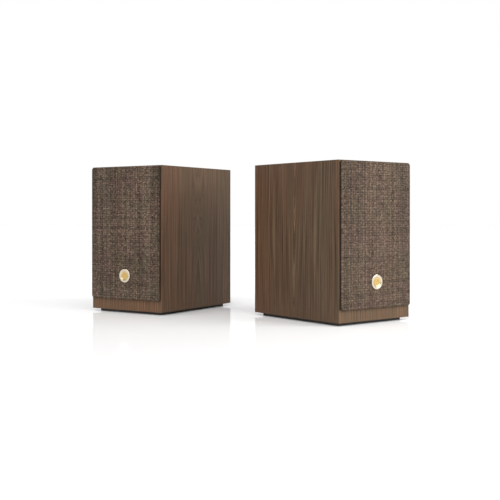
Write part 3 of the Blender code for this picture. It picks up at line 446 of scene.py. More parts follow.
def own_finishes(side):
    """The veneers and cloths of one speaker, each with its slot."""
    figure, light, contrast = FIGURES[side], WOOD_LIGHT[side], CLOTH_CONTRAST[side]
    strip_figure = (*figure[:3], 1.9, figure[4])
    seed = 11.0 * SIDES.index(side)
    return {
        "upright_veneer": (walnut(side + "_walnut_upright", "Z", figure, light), "walnut_veneer"),
        "level_veneer": (walnut(side + "_walnut_level", "X", figure, light), "walnut_veneer"),
        # Faces that look to the front or back take a copy of the walnut with stronger fine grain, 1.25 times
        # lighter: the grain is the wood's, the lighter tone is painted light for the front rims.
        "painted_light_rim_veneer": (walnut(side + "_walnut_painted_light_rim", "Z", strip_figure, 1.25), "walnut_veneer"),
        "cloth": (tweed(side + "_tweed", seed, contrast, 0.97), "grille_cloth"),
        # The second copy of the tweed, at 0.18 of its brightness, is painted shade on the grille's side and on
        # the cloth tucked behind it.
        "cloth_painted_shade": (tweed(side + "_tweed_painted_shade", seed, contrast, 0.18), "grille_cloth"),
    }


# Shapes


def new_object(name, data):
    obj = bpy.data.objects.new(name, data)
    bpy.context.scene.collection.objects.link(obj)
    return obj


def new_mesh(name, shape):
    """A mesh made from a shape, which is used up."""
    mesh = bpy.data.meshes.new(name)
    shape.to_mesh(mesh)
    shape.free()
    return mesh


def circle(x, z, radius, count, first=0.0):
    """Points round (x, z)."""
    angles = [first + math.tau * i / count for i in range(count)]
    return [(x + radius * math.cos(a), z + radius * math.sin(a)) for a in angles]


def rounded_ring(half_x, low_z, high_z, corner, x=0.0, steps=8):
    """A rectangle with round corners, as (x, z) points."""
    across, low, high = half_x - corner, low_z + corner, high_z - corner
    centres = ((across, high), (-across, high), (-across, low), (across, low))
    ring = []
    for quarter, (middle_x, middle_z) in enumerate(centres):
        for step in range(steps + 1):
            angle = (quarter + step / steps) * math.pi / 2
            ring.append((x + middle_x + corner * math.cos(angle), middle_z + corner * math.sin(angle)))
    return ring


def oblong(x, z, width, height, corner):
    """A rectangle with round corners, centred at (x, z)."""
    return rounded_ring(width / 2, z - height / 2, z + height / 2, corner, x)


def loft(shape, rings, capped=False):
    """Bridges rings of equally many points, and returns their vertices."""
    made = [[shape.verts.new(point) for point in ring] for ring in rings]
    for near, far in zip(made, made[1:]):
        for i in range(len(near)):
            j = (i + 1) % len(near)
            shape.faces.new((near[i], near[j], far[j], far[i]))
    if capped:
        shape.faces.new(made[0])
        shape.faces.new(made[-1])
    return made


def slab(ring, front, back):
    """A flat outline of (x, z) points, run from y = front to y = back."""
    shape = bmesh.new()
    loft(shape, [[(x, y, z) for x, z in ring] for y in (front, back)], True)
    bmesh.ops.recalc_face_normals(shape, faces=shape.faces)
    return shape


def tube(outside, inside, front, back):
    """What lies between two outlines of equally many (x, z) points, from y = front to y = back."""
    shape = bmesh.new()
    sections = ((inside, front), (outside, front), (outside, back), (inside, back), (inside, front))
    loft(shape, [[(x, y, z) for x, z in ring] for ring, y in sections])
    bmesh.ops.remove_doubles(shape, verts=shape.verts, dist=MERGE)
    bmesh.ops.recalc_face_normals(shape, faces=shape.faces)
    return shape


def block(low, high):
    shape = bmesh.new()
    bmesh.ops.create_cube(shape, size=1.0)
    low, high = Vector(low), Vector(high)
    bmesh.ops.scale(shape, vec=high - low, verts=shape.verts)
    bmesh.ops.translate(shape, vec=(low + high) / 2, verts=shape.verts)
    return shape


def bar(x, z, width, height, front, back):
    """A block centred at (x, z), from y = front to y = back."""
    return block((x - width / 2, front, z - height / 2), (x + width / 2, back, z + height / 2))


def turned(profile, middle=(0, 0, 0), axis="Y", steps=ROUND):
    """A turned solid. Its profile is (radius, place along the axis) points, a loop or from axis to axis."""
    middle = Vector(middle)
    shape = bmesh.new()
    outward = 1 if axis == "X" else 0
    points = []
    for radius, along in profile:
        place = middle.copy()
        place["XYZ".index(axis)] = along
        place[outward] += radius
        points.append(shape.verts.new(place))
    pairs = list(zip(points, points[1:]))
    if profile[0][0] > MERGE or profile[-1][0] > MERGE:
        pairs.append((points[-1], points[0]))
    for start, end in pairs:
        shape.edges.new((start, end))
    direction = [float(axis == name) for name in "XYZ"]
    turn = {"cent": middle, "axis": direction, "angle": math.tau, "steps": steps, "use_merge": True}
    bmesh.ops.spin(shape, geom=shape.verts[:] + shape.edges[:], **turn)
    bmesh.ops.remove_doubles(shape, verts=shape.verts, dist=MERGE / 2)
    bmesh.ops.recalc_face_normals(shape, faces=shape.faces)
    return shape


def peg(middle, radius, start, end, axis="Y", steps=SMALL_ROUND, edge=0.0):
    """A cylinder along an axis, whose end at the start may have a chamfer."""
    along = edge if end > start else -edge
    profile = [(0, start), (radius - edge, start), (radius, start + along), (radius, end), (0, end)]
    return turned([p for i, p in enumerate(profile) if edge or i != 2], middle, axis, steps)


def merged(shapes):
    """Several shapes in one, still as separate bodies."""
    whole = shapes[0]
    for shape in shapes[1:]:
        mesh = new_mesh("part", shape)
        whole.from_mesh(mesh)
        bpy.data.meshes.remove(mesh)
    return whole


def moved(shape, matrix):
    bmesh.ops.transform(shape, matrix=matrix, verts=shape.verts)
    return shape


def combined(shape, other, operation="DIFFERENCE"):
    """A Boolean of two shapes."""
    objects = [new_object("operand", new_mesh("operand", part)) for part in (shape, other)]
    modifier = objects[0].modifiers.new("Boolean", "BOOLEAN")
    modifier.operation = operation
    modifier.object = objects[1]
    evaluated = objects[0].evaluated_get(bpy.context.evaluated_depsgraph_get())
    meshes = [bpy.data.meshes.new_from_object(evaluated), *[obj.data for obj in objects]]
    result = bmesh.new()
    result.from_mesh(meshes[0])
    for obj in objects:
        bpy.data.objects.remove(obj)
    for mesh in meshes:
        bpy.data.meshes.remove(mesh)
    return result


def rounded_profile(points, closed, parts=5, soft=math.radians(52)):
    """The profile with its soft bends made into curves, and its sharp corners kept."""
    places = [Vector(p) for p in points]
    count = len(places)

    def at(i):
        return places[i % count] if closed else places[min(max(i, 0), count - 1)]

    def heading(i):
        before, after = at(i) - at(i - 1), at(i + 1) - at(i)
        if not before.length or not after.length or before.angle(after) > soft:
            return None
        return (before.normalized() + after.normalized()).normalized() * min(before.length, after.length)

    result = []
    for i in range(count if closed else count - 1):
        start, end = at(i), at(i + 1)
        first, last = heading(i), heading(i + 1)
        if first is None and last is None:
            result.append(tuple(start))
            continue
        first = end - start if first is None else first
        last = end - start if last is None else last
        for step in range(parts):
            t = step / parts
            a, b = (1 + 2 * t) * (1 - t) ** 2, t * (1 - t) ** 2
            c, d = t**2 * (3 - 2 * t), t**2 * (t - 1)
            result.append(tuple(a * start + b * first + c * end + d * last))
    if not closed:
        result.append(tuple(places[-1]))
    return result


def smooth(obj, angle):
    """Smooth shading, but sharp at edges that turn by more than an angle."""
    obj.data.shade_smooth()
    obj.data.set_sharp_from_angle(angle=math.radians(angle))


def soften(obj, width, segments):
    """Rounded edges."""
    bevel = obj.modifiers.new("Edges", "BEVEL")
    bevel.width = width
    bevel.segments = segments
    bevel.limit_method = "ANGLE"
    bevel.angle_limit = math.radians(50)
    smooth(obj, 60)


class Speaker:
    """One speaker: where it stands, what its CAD nodes measure in its own frame, and how pieces go on it."""

    def __init__(self, side, finishes):
        self.side = side
        self.finishes = finishes
        front = JOINTS[side + "_grille_pull"]["axis"]
        low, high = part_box(side + "_base_plate")
        middle = (low + high) / 2
        turn = Matrix.Rotation(math.atan2(front[0], -front[1]), 4, "Z")
        self.place = Matrix.Translation((middle.x, middle.y, 0)) @ turn

    def node(self, name):
        return NODES[f"{self.side}_{name}"]

    def span(self, node):
        """The lowest and highest corner of a CAD node in the speaker's own frame."""
        inverse = self.place.inverted()
        points = [inverse @ v.co for v in self.node(node).data.vertices]
        return [Vector([pick(p[i] for p in points) for i in range(3)]) for pick in (min, max)]

    def middle(self, node):
        low, high = self.span(node)
        return (low + high) / 2

    def solid(self, node):
        """A CAD node's mesh in the speaker's own frame, as a shape of its own."""
        shape = bmesh.new()
        shape.from_mesh(self.node(node).data)
        moved(shape, self.place.inverted())
        bmesh.ops.remove_doubles(shape, verts=shape.verts, dist=MERGE)
        return shape

    def profile(self, node, upright=False, angle=0.0):
        """A turned CAD node's profile as (radius, place along its axis), cut by the half-plane at an angle.

        A profile that is not a loop starts and ends on the axis.
        """
        shape = self.solid(node)
        centre = self.middle(node)
        flat, along = (1, 2) if upright else (2, 1)
        aim = Vector((math.cos(angle), 0, 0))
        aim[flat] = math.sin(angle)
        side = Vector((-math.sin(angle), 0, 0))
        side[flat] = math.cos(angle)
        limit = 2 * MERGE
        points = {}
        for vertex in shape.verts:
            arm = vertex.co - centre
            reach = arm.dot(aim)
            if abs(arm.dot(side)) < limit and reach > -limit:
                points[vertex] = (reach if reach > limit else 0.0, vertex.co[along])
        links = {v: [e.other_vert(v) for e in v.link_edges if e.other_vert(v) in points] for v in points}

        def height(vertex):
            return round(points[vertex][1], 6)

        chain = [min(points, key=lambda v: (len(links[v]), height(v), round(v.co.x, 6)))]
        while onward := [v for v in links[chain[-1]] if v not in chain]:
            chain.append(min(onward, key=height))
        result = [points[vertex] for vertex in chain]
        if chain[-1] not in links[chain[0]]:
            result = [(0.0, result[0][1]), *[p for p in result if p[0] > 0], (0.0, result[-1][1])]
        shape.free()
        return result

    def piece(self, name, shape, finish, body="speaker", origin=(0, 0, 0), edge=0.0, segments=2, crease=40,
              replaces=None, slot=None):
        """A mesh piece in the speaker's frame, on one of its bodies, in place of the CAD node of that name.

        Small parts have no such node. The shape may be a list of shapes. Edges are rounded to a width, or else
        shaded smooth up to an angle.
        """
        shape = merged(shape) if isinstance(shape, list) else shape
        moved(shape, Matrix.Translation(-Vector(origin)))
        mesh = new_mesh(name, shape)
        finishes = [self.finishes[key] for key in ([finish] if isinstance(finish, str) else finish)]
        for material, _ in finishes:
            mesh.materials.append(material)
        obj = new_object(f"{self.side}_{name}_visual", mesh)
        obj.matrix_world = self.place @ Matrix.Translation(origin)
        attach(obj, f"{self.side}_{body}")
        node = f"{self.side}_{replaces or name}"
        if node in NODES:
            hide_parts(node)
        if edge:
            soften(obj, edge, segments)
        else:
            smooth(obj, crease)
        return obj

    def returned(self, node, finish, body="speaker", upright=False, steps=ROUND, parts=5, edge=0.0):
        """A turned CAD node made again from its profile, with fine facets and its bends in so many parts."""
        profile = self.profile(node, upright)
        closed = profile[0][0] > MERGE or profile[-1][0] > MERGE
        middle = self.middle(node)
        shape = turned(rounded_profile(profile, closed, parts), middle, "Z" if upright else "Y", steps)
        return self.piece(node, shape, finish, body, middle, edge)

    def copied(self, node, finish, body="speaker", edge=0.0):
        """A CAD node's own shape."""
        shape = self.solid(node)
        bmesh.ops.dissolve_limit(shape, angle_limit=math.radians(1), verts=shape.verts, edges=shape.edges)
        self.piece(node, shape, finish, body, edge=edge)


# Cabinet


def build_cabinet(speaker):
    """The veneered tube, with fine round edges. Its inside is painted black."""
    low, high = speaker.span("cabinet")
    baffle_low, baffle_high = speaker.span("front_baffle")
    inner_x, inner_low, inner_high = baffle_high.x + GAP, baffle_low.z - GAP, baffle_high.z + GAP
    outer = [(high.x, high.z), (low.x, high.z), (low.x, low.z), (high.x, low.z)]
    inner = [(inner_x, inner_high), (-inner_x, inner_high), (-inner_x, inner_low), (inner_x, inner_low)]
    shape = tube(outer, inner, low.y, high.y)
    finish = ["upright_veneer", "level_veneer", "painted_light_rim_veneer", "board_paint"]
    upright, level, painted_light_rim, paint = range(4)
    for face in shape.faces:
        middle = face.calc_center_median()
        # Faces that look to the front or back get the lighter walnut copy, which is painted light.
        if abs(face.normal.y) > 0.5:
            face.material_index = painted_light_rim
        elif abs(middle.x) < inner_x + GAP and inner_low - GAP < middle.z < inner_high + GAP:
            face.material_index = paint
        else:
            face.material_index = level if abs(face.normal.z) > 0.5 else upright
    speaker.piece("cabinet", shape, finish, edge=CABINET_EDGE, segments=3)


def build_base(speaker):
    shape = block(*speaker.span("base_plate"))
    speaker.piece("base_plate", shape, "base_rubber", edge=0.0006, segments=3)


# Grille


def build_cloth(speaker):
    """The cloth: flat over the frame, round its edges and tucked behind it, with a hole for the badge."""
    low, high = speaker.span("grille_cloth")
    back = speaker.span("grille_frame")[0].y + FRAME_DEPTH
    front = low.y
    fold = 0.0006
    rounding = [math.pi / 2 * step / 6 for step in range(7)]
    sections = [(CLOTH_HEM, back), (fold, back), (0.0, back - fold)]
    sections += [(CLOTH_EDGE * (1 - math.cos(a)), front + CLOTH_EDGE * (1 - math.sin(a))) for a in rounding]
    rings = []
    for inset, y in sections:
        corner = max(CLOTH_CORNER - inset, 0.0004)
        ring = rounded_ring(high.x - inset, low.z + inset, high.z - inset, corner)
        rings.append([(x, y, z) for x, z in ring])
    shape = bmesh.new()
    made = loft(shape, rings)
    badge_z, radius = speaker.middle("grille_badge").z, badge_radius(speaker) + BADGE_GAP
    lip = []
    for extra, depth in ((0.0009, 0.0), (0.0003, 0.0002), (0.0, 0.0008)):
        lip.append([(x, front + depth, z) for x, z in circle(0.0, badge_z, radius + extra, 64)])
    hole = loft(shape, lip)
    edges = ring_edges(shape, made[-1]) + ring_edges(shape, hole[0])
    bmesh.ops.triangle_fill(shape, edges=edges, use_beauty=True)
    bmesh.ops.recalc_face_normals(shape, faces=shape.faces)
    # Faces round the edge and behind the front take the dark copy of the tweed: painted shade on the grille's
    # side.
    for face in shape.faces:
        face.material_index = int(face.calc_center_median().y > front + 0.55 * CLOTH_EDGE)
    obj = speaker.piece("grille_cloth", shape, ["cloth", "cloth_painted_shade"], "grille", crease=50)


def ring_edges(shape, ring):
    return [shape.edges.get(pair) for pair in zip(ring, ring[1:] + ring[:1])]


def build_frame(speaker):
    """The moulded frame: a rim, a spur up to the badge's boss, and four pegs with a magnet in each."""
    low, high = speaker.span("grille_frame")
    front, back = speaker.span("grille_cloth")[1].y + GAP, low.y + FRAME_DEPTH
    badge = speaker.middle("grille_badge")
    outside, inside = [
        rounded_ring(high.x - inset, low.z + inset, high.z - inset, corner, steps=12)
        for inset, corner in ((FRAME_INSET, 0.0038), (FRAME_RIM, 0.0380))
    ]
    shape = tube(outside, inside, front, back)
    spur = block((-SPUR, front + GAP, low.z + SPUR), (SPUR, back - GAP, badge.z))
    shape = combined(shape, spur, "UNION")
    boss = badge_radius(speaker) + BADGE_GAP + BADGE_SEAT
    shape = combined(shape, peg(badge, boss, front + GAP, back - GAP / 2), "UNION")
    radius, thickness = MAGNET
    magnets = []
    for x, z in peg_places(speaker):
        place = (x, 0, z)
        shape = combined(shape, peg(place, PEG_RADIUS, high.y, back - 2 * GAP, edge=0.0004), "UNION")
        shape = combined(shape, peg(place, radius + FIT, high.y + GAP, high.y - thickness))
        magnets.append(peg(place, radius, high.y - FIT, high.y - thickness + GAP, edge=0.0003))
    speaker.piece("grille_frame", shape, "frame_plastic", "grille")
    speaker.piece("grille_magnets", magnets, "nickel_plate", "grille")


def badge_radius(speaker):
    return speaker.span("grille_badge")[1].x


def peg_places(speaker):
    """The (x, z) of the grille's pegs."""
    low, high = speaker.span("grille_frame")
    x = speaker.span("front_baffle")[1].x + GAP - PEG_INSET[0]
    return [(side * x, z) for side in (-1, 1) for z in (low.z + PEG_INSET[1], high.z - PEG_INSET[1])]


def build_badge(speaker):
    """A spun brass badge: a polished rim round a dish with a small raised middle. It bears no mark."""
    low, high = speaker.span("grille_badge")
    radius, depth = high.x, high.y - low.y
    deep = depth - 0.0002
    middle = Vector((0, 0, (low.z + high.z) / 2))
    shares = [(0, 0.80), (0.16, 0.82), (0.30, 0.92), (0.42, 1.0), (0.56, 0.80), (0.68, 0.36), (0.76, 0.10)]
    shares += [(0.86, 0.0), (0.94, 0.08), (0.985, 0.34), (1.0, 0.75)]
    profile = [(share * radius, low.y + down * deep) for share, down in shares]
    profile += [(radius, low.y + depth), (0, low.y + depth)]
    shape = turned(rounded_profile(profile, False, 3), middle)
    for face in shape.faces:
        reach = (face.calc_center_median() - middle).xz.length
        face.material_index = 2 if reach < radius * 0.50 else int(reach < radius * 0.70)
    finish = ["brass_rim", "brass_dish", "brass_centre"]
    speaker.piece("grille_badge", shape, finish, "grille", (0, low.y, middle.z))


# Front board and drivers


def build_baffle(speaker):
    """The painted board behind the grille, rebated for the drivers, with a steel keeper for each magnet."""
    low, high = speaker.span("front_baffle")
    shape = block(low, high)
    for node, (hole, rebate, _, _) in DRIVERS.items():
        flange, chamfer = speaker.span(node)[1].x + GAP, 0.0004
        profile = [
            (0, low.y - PAST),
            (flange + chamfer, low.y - PAST),
            (flange, low.y + chamfer),
            (flange, low.y + rebate),
            (hole, low.y + rebate),
            (hole, high.y + PAST),
            (0, high.y + PAST),
        ]
        shape = combined(shape, turned(profile, speaker.middle(node)))
    radius, thickness = KEEPER
    keepers = []
    for x, z in peg_places(speaker):
        shape = combined(shape, peg((x, 0, z), radius + FIT, low.y - PAST, low.y + thickness + GAP))
        keepers.append(peg((x, 0, z), radius, low.y + FIT, low.y + thickness, edge=0.0003))
    speaker.piece("front_baffle", shape, "board_paint")
    speaker.piece("grille_keepers", keepers, "zinc_steel")


def build_woofer(speaker):
    """The woofer, whose basket has six windows."""
    middle = speaker.middle("woofer_basket")
    front = speaker.span("woofer_basket")[0].y
    profile = speaker.profile("woofer_basket", angle=math.radians(36))
    shape = turned(rounded_profile(profile, True, 4, math.radians(30)), middle)
    inner, outer, near, far, half = BASKET_WINDOW
    for i in range(WINDOWS):
        window = block((inner, front + near, -half), (outer, front + far, half))
        turn = Matrix.Translation((0, 0, middle.z)) @ Matrix.Rotation(-math.tau * i / WINDOWS, 4, "Y")
        shape = combined(shape, moved(window, turn))
    speaker.piece("woofer_basket", shape, "basket_powder_coat", origin=middle)
    for part, finish in (("magnet", "magnet_ferrite"), ("yoke", "zinc_steel"), ("top_plate", "zinc_steel")):
        speaker.returned("woofer_" + part, finish, parts=1, edge=0.0005)
    for part in ("cone", "dust_cap"):
        speaker.returned("woofer_" + part, "coated_pulp", "woofer_cone")
    speaker.returned("woofer_voice_coil", "voice_coil_copper", "woofer_cone", parts=1)
    flex(speaker, "woofer_surround", "surround_rubber")
    flex(speaker, "woofer_spider", "spider_cotton")


def flex(speaker, node, finish):
    """A ring made again from its profile, then taken off its body with its placement baked into its mesh."""
    obj = speaker.returned(node, finish)
    world = obj.matrix_world.copy()
    obj.parent = None
    obj.matrix_world = world
    centre = speaker.place @ speaker.middle(node)
    front = Vector(JOINTS[speaker.side + "_grille_pull"]["axis"])
    centre + front * 0.01
    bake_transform(obj)
    for vertex in obj.data.vertices:
        arm = vertex.co - centre
        radius = (arm - front * arm.dot(front)).length


def build_tweeter(speaker):
    speaker.returned("tweeter_faceplate", "satin_plastic")
    speaker.returned("tweeter_dome", "dome_silk", "tweeter_dome")
    speaker.returned("tweeter_motor", "zinc_steel", parts=1, edge=0.0005)


def screw_head(facing):
    """A pan head with a cross recess, seated at the origin."""
    radius, height = SCREW_HEAD
    shares = ((0, 1.0), (0.45, 0.96), (0.80, 0.72), (0.96, 0.38), (1.0, 0.12), (1.0, 0), (0, 0))
    profile = [(out * radius, up * height) for out, up in shares]
    head = turned(rounded_profile(profile, False, 3), axis="Z", steps=32)
    long, wide, floor = 0.52 * radius, 0.15 * radius, 0.45 * height
    for half_x, half_y in ((long, wide), (wide, long)):
        head = combined(head, block((-half_x, -half_y, floor), (half_x, half_y, 2 * height)))
    return moved(head, facing)


def build_screws(speaker, name, facing, seat, places):
    """Screws in one face, given by the (x, z) of their heads. Each is driven to a slightly different turn."""
    head = screw_head(facing)
    screws = []
    for i, (x, z) in enumerate(places):
        turn = Matrix.Rotation(0.7 * i + 0.3, 4, "Y")
        screws.append(moved(head.copy(), Matrix.Translation((x, seat, z)) @ turn))
    head.free()
    speaker.piece(name, screws, "black_oxide_screws")


def build_front_screws(speaker):
    seat = speaker.span("woofer_basket")[0].y
    for node, (_, _, radius, count) in DRIVERS.items():
        middle = speaker.middle(node)
        places = circle(middle.x, middle.z, radius, count, math.pi / count)
        build_screws(speaker, node.split("_")[0] + "_screws", FRONT, seat, places)


# Back


def build_rear_panel(speaker, plate):
    """The painted rear panel, with its port hole and a window behind the plate."""
    low, high = speaker.span("rear_panel")
    shape = block(low, high)
    port = speaker.middle("port_tube")
    shape = combined(shape, peg(port, PORT_HOLE, low.y - PAST, high.y + PAST, steps=ROUND))
    plate_low, plate_high = speaker.span(plate)
    margin, past = Vector((WINDOW_MARGIN, 0, WINDOW_MARGIN)), Vector((0, WINDOW_PAST, 0))
    shape = combined(shape, block(plate_low + margin - past, plate_high - margin + past))
    speaker.piece("rear_panel", shape, "board_paint", edge=0.0004)
    places = [(side * (high.x - REAR_SCREW_INSET), z) for side in (-1, 1) for z in REAR_SCREW_HEIGHTS]
    build_screws(speaker, "rear_screws", REAR, high.y, places)
    speaker.returned("port_tube", "satin_plastic")


def build_plate(speaker, node, finish, corner, rounds, squares, screw_rows):
    """The plate on the rear panel. Rounds are (x, z, radius), squares (x, z, width, height, corner)."""
    low, high = speaker.span(node)
    shape = slab(rounded_ring(high.x, low.z, high.z, corner), low.y, high.y)
    for x, z, radius in rounds:
        shape = combined(shape, peg((x, 0, z), radius, low.y - PAST, high.y + PAST))
    for square in squares:
        shape = combined(shape, slab(oblong(*square), low.y - PAST, high.y + PAST))
    speaker.piece(node, shape, finish, edge=0.00025)
    inset = PLATE_SCREW_INSET
    rows = [low.z + inset + i * (high.z - low.z - 2 * inset) / (screw_rows - 1) for i in range(screw_rows)]
    places = [(side * (high.x - inset), z) for side in (-1, 1) for z in rows]
    build_screws(speaker, "plate_screws", REAR, high.y, places)


def terminal_holes(place):
    return [(place[0] + side * TERMINAL_PITCH / 2, place[1], 0.0026) for side in (-1, 1)]


def build_terminals(speaker, place):
    """Two threaded studs in a moulded block, and the fluted caps that screw down on them."""
    low, high = speaker.span("terminal_block")
    collar = speaker.span("red_terminal")[0].y - GAP
    shoulder = collar - 0.0022
    housing = bar(*place, 0.0340, 0.0130, low.y, shoulder)
    speaker.piece("terminal_housing", housing, "satin_plastic", edge=0.0006, replaces="terminal_block")
    shaft, root, washer, chamfer, thread = 0.0020, 0.0018, 0.0055, 0.0003, 0.0007
    foot, step = shoulder - GAP, collar - 0.0016
    profile = [(0, foot), (shaft, foot), (shaft, step), (washer, step)]
    profile += [(washer, collar - chamfer), (washer - chamfer, collar), (0.0019, collar)]
    for i in range(int((high.y - collar - 0.0010) / thread)):
        start = collar + 0.0004 + i * thread
        profile += [(root, start), (shaft, start + 0.5 * thread)]
    profile += [(0.0016, high.y - 0.0002), (0.0013, high.y), (0, high.y)]
    studs = [turned(profile, (x, 0, z), steps=SMALL_ROUND) for x, z, _ in terminal_holes(place)]
    speaker.piece("terminal_studs", studs, "nickel_plate", crease=30)
    for name, finish in (("red_terminal", "red_plastic"), ("black_terminal", "satin_plastic")):
        middle = speaker.middle(name)
        shape = turned(rounded_profile(speaker.profile(name), True, 4), middle, steps=180)
        flute(shape, middle, speaker.span(name), 18, 0.00045)
        speaker.piece(name, shape, finish, name, middle)


def flute(shape, middle, span, count, depth):
    """Grip flutes round the outside of a turned shape, fading out towards its two ends."""
    low, high = span
    radius, skin, run_out = (high.x - low.x) / 2, 0.0002, 0.0016
    for vertex in shape.verts:
        arm = vertex.co - middle
        arm.y = 0
        if arm.length < radius - skin:
            continue
        fade = min(max(min(vertex.co.y - low.y, high.y - vertex.co.y) / run_out, 0.0), 1.0)
        cut = depth * fade * (0.5 - 0.5 * math.cos(count * math.atan2(arm.z, arm.x)))
        vertex.co -= arm.normalized() * cut


def build_passive_back(speaker):
    node = "terminal_plate"
    build_plate(speaker, node, "satin_plastic", 0.0050, terminal_holes(PASSIVE_TERMINALS), [], 2)
    build_rear_panel(speaker, node)
    build_terminals(speaker, PASSIVE_TERMINALS)


def build_active_back(speaker):
    node = "amplifier_plate"
    rounds = [*terminal_holes(ACTIVE_TERMINALS), (*PAIRING, 0.0033)]
    rounds += [(*place, 0.0043) for place in JACKS]
    squares = [
        (*INLET, 0.0226, 0.0136, 0.0020),
        (*SWITCH, 0.0112, 0.0176, 0.0008),
        (*WIDE_SOCKET, 0.0158, 0.0066, 0.0006),
        (*SQUARE_SOCKET, 0.0106, 0.0106, 0.0006),
    ]
    build_plate(speaker, node, "amplifier_plate_paint", 0.0040, rounds, squares, 3)
    build_rear_panel(speaker, node)
    build_terminals(speaker, ACTIVE_TERMINALS)
    build_inlet(speaker)
    build_sockets(speaker)
    speaker.returned("pairing_button", "gloss_plastic", "pairing_button", steps=SMALL_ROUND)
    speaker.copied("power_switch", "gloss_plastic", "power_switch", 0.0005)


def build_inlet(speaker):
    """A two-pin mains inlet, whose hollow has round ends."""
    low, high = speaker.span("power_inlet")
    middle = speaker.middle("power_inlet")
    floor = high.y - 0.0146
    body = slab(oblong(middle.x, middle.z, high.x - low.x, high.z - low.z, 0.0018), low.y, high.y)
    hollow = oblong(middle.x, middle.z, 0.0168, 0.0088, 0.0043)
    body = combined(body, slab(hollow, floor, high.y + PAST))
    speaker.piece("power_inlet", body, "satin_plastic", edge=0.0003)
    pins = []
    for side in (-1, 1):
        place = (middle.x + side * 0.0046, 0, middle.z)
        pins.append(peg(place, 0.0011, high.y - 0.0042, floor - GAP, steps=24, edge=0.0004))
    speaker.piece("inlet_pins", pins, "nickel_plate")


def build_sockets(speaker):
    """The jacks with their coloured inserts, and the two digital sockets."""
    low, high = speaker.span("audio_sockets")
    face = speaker.span("amplifier_plate")[1].y
    back, flange = face - SOCKET_DEPTH, face + 0.0015
    bore, wall, tip = 0.0033, 0.0040, high.y
    barrel = [(bore, tip), (0.0037, tip), (wall, tip - 0.0004), (wall, flange), (0.0058, flange)]
    barrel += [(0.0058, face + GAP), (wall, face + GAP), (wall, back), (bore, back)]
    core, sleeve, sunk = 0.0017, bore - FIT, tip - 0.0012
    insert = [(core, sunk), (sleeve, sunk), (sleeve, back), (core, back)]
    barrels, inserts = [
        [turned(profile, (x, 0, z), steps=SMALL_ROUND) for x, z in JACKS] for profile in (barrel, insert)
    ]
    speaker.piece("audio_jacks", barrels, "nickel_plate", replaces="audio_sockets")
    for name, finish, shape in zip(("red", "white", "black"), ("red", "white", "satin"), inserts):
        speaker.piece(name + "_jack_insert", shape, finish + "_plastic", slot="satin_plastic")
    bracket = block(low, (high.x, back - FIT, high.z))
    speaker.piece("socket_bracket", bracket, "satin_plastic", edge=0.0005)
    for name, place, size, opening, reach, finish in (
        ("digital_socket", WIDE_SOCKET, (0.0152, 0.0060), (0.0140, 0.0046), 0.0085, "nickel_plate"),
        ("optical_socket", SQUARE_SOCKET, (0.0100, 0.0100), (0.0074, 0.0074), 0.0040, "satin_plastic"),
    ):
        shell = slab(oblong(*place, *size, 0.0005), back, face + 0.0006)
        shell = combined(shell, slab(oblong(*place, *opening, 0.0004), face - reach, face + 2 * PAST))
        speaker.piece(name, shell, finish, edge=0.00015)
    shutter = bar(*SQUARE_SOCKET, 0.0072, 0.0072, face - 0.0039, face - 0.0029)
    speaker.piece("optical_shutter", shutter, "shutter_plastic", edge=0.0003)
    tongue = bar(*WIDE_SOCKET, 0.0116, 0.0008, face - 0.0084, face - 0.0012)
    speaker.piece("digital_tongue", tongue, "satin_plastic", edge=0.0002)


# Inside


def build_pad(speaker):
    """Wadding: a soft block whose faces are lumpy and whose edges have slumped."""
    low, high = speaker.span("damping_pad")
    shape = block(low, high)
    bmesh.ops.subdivide_edges(shape, edges=shape.edges[:], cuts=11, use_grid_fill=True)
    middle, half = (low + high) / 2, (high - low) / 2
    for vertex in shape.verts:
        share = Vector([(vertex.co[i] - middle[i]) / half[i] for i in range(3)])
        pull = 1 - 0.035 * (share.x**4 + share.y**4 + abs(share.z))
        lump = 0.06 * noise.noise(vertex.co * 55)
        squash = pull * (0.93 + lump)
        factors = (squash, squash, 0.80 + 2 * lump)
        vertex.co = middle + Vector([share[i] * half[i] * factors[i] for i in range(3)])
    obj = speaker.piece("damping_pad", shape, "polyester_wadding", crease=80)
    subdivide = obj.modifiers.new("Soft", "SUBSURF")
    subdivide.levels = subdivide.render_levels = 1


def build_wiring(speaker):
    speaker.copied("wiring", "wire_sleeve")


def build_crossover(speaker):
    """The crossover: its board on feet, three sleeved capacitors, a ceramic resistor and two copper coils."""
    low, high = speaker.span("crossover_board")
    top = low.z + 0.0077
    board = block((low.x, low.y, top - BOARD), (high.x, high.y, top))
    speaker.piece("crossover_board", board, "solder_mask", edge=0.0002)
    places = [(x, y, 0) for x in (-0.044, 0.044) for y in (-0.030, 0.058)]
    feet = [peg(place, FOOT, top - BOARD + GAP, low.z, "Z") for place in places]
    speaker.piece("crossover_feet", feet, "satin_plastic")
    cans = [capacitor((0, y, top + 0.0066), "X", -0.006, -0.040, 0.0068) for y in (-0.022, -0.003, 0.016)]
    speaker.piece("crossover_capacitors", cans, "capacitor_sleeve")
    resistor = block((-0.040, 0.034, top), (-0.014, 0.044, top + 0.009))
    speaker.piece("crossover_resistor", resistor, "resistor_ceramic", edge=0.0008)
    for node in ("large_coil", "small_coil"):
        speaker.returned(node, "coil_copper", upright=True)


def capacitor(middle, axis, start, end, radius):
    """A sleeved can with rolled ends."""
    along = 1 if end > start else -1
    steps = ((0, 0.0006), (0.84, 0.0006), (0.88, 0), (0.97, 0.0003), (1.0, 0.0012), (1.0, 0.0030))
    steps += ((0.94, 0.0036), (1.0, 0.0042))
    profile = [(share * radius, start + step * along) for share, step in steps]
    return turned([*profile, (radius, end), (0, end)], middle, axis, SMALL_ROUND)


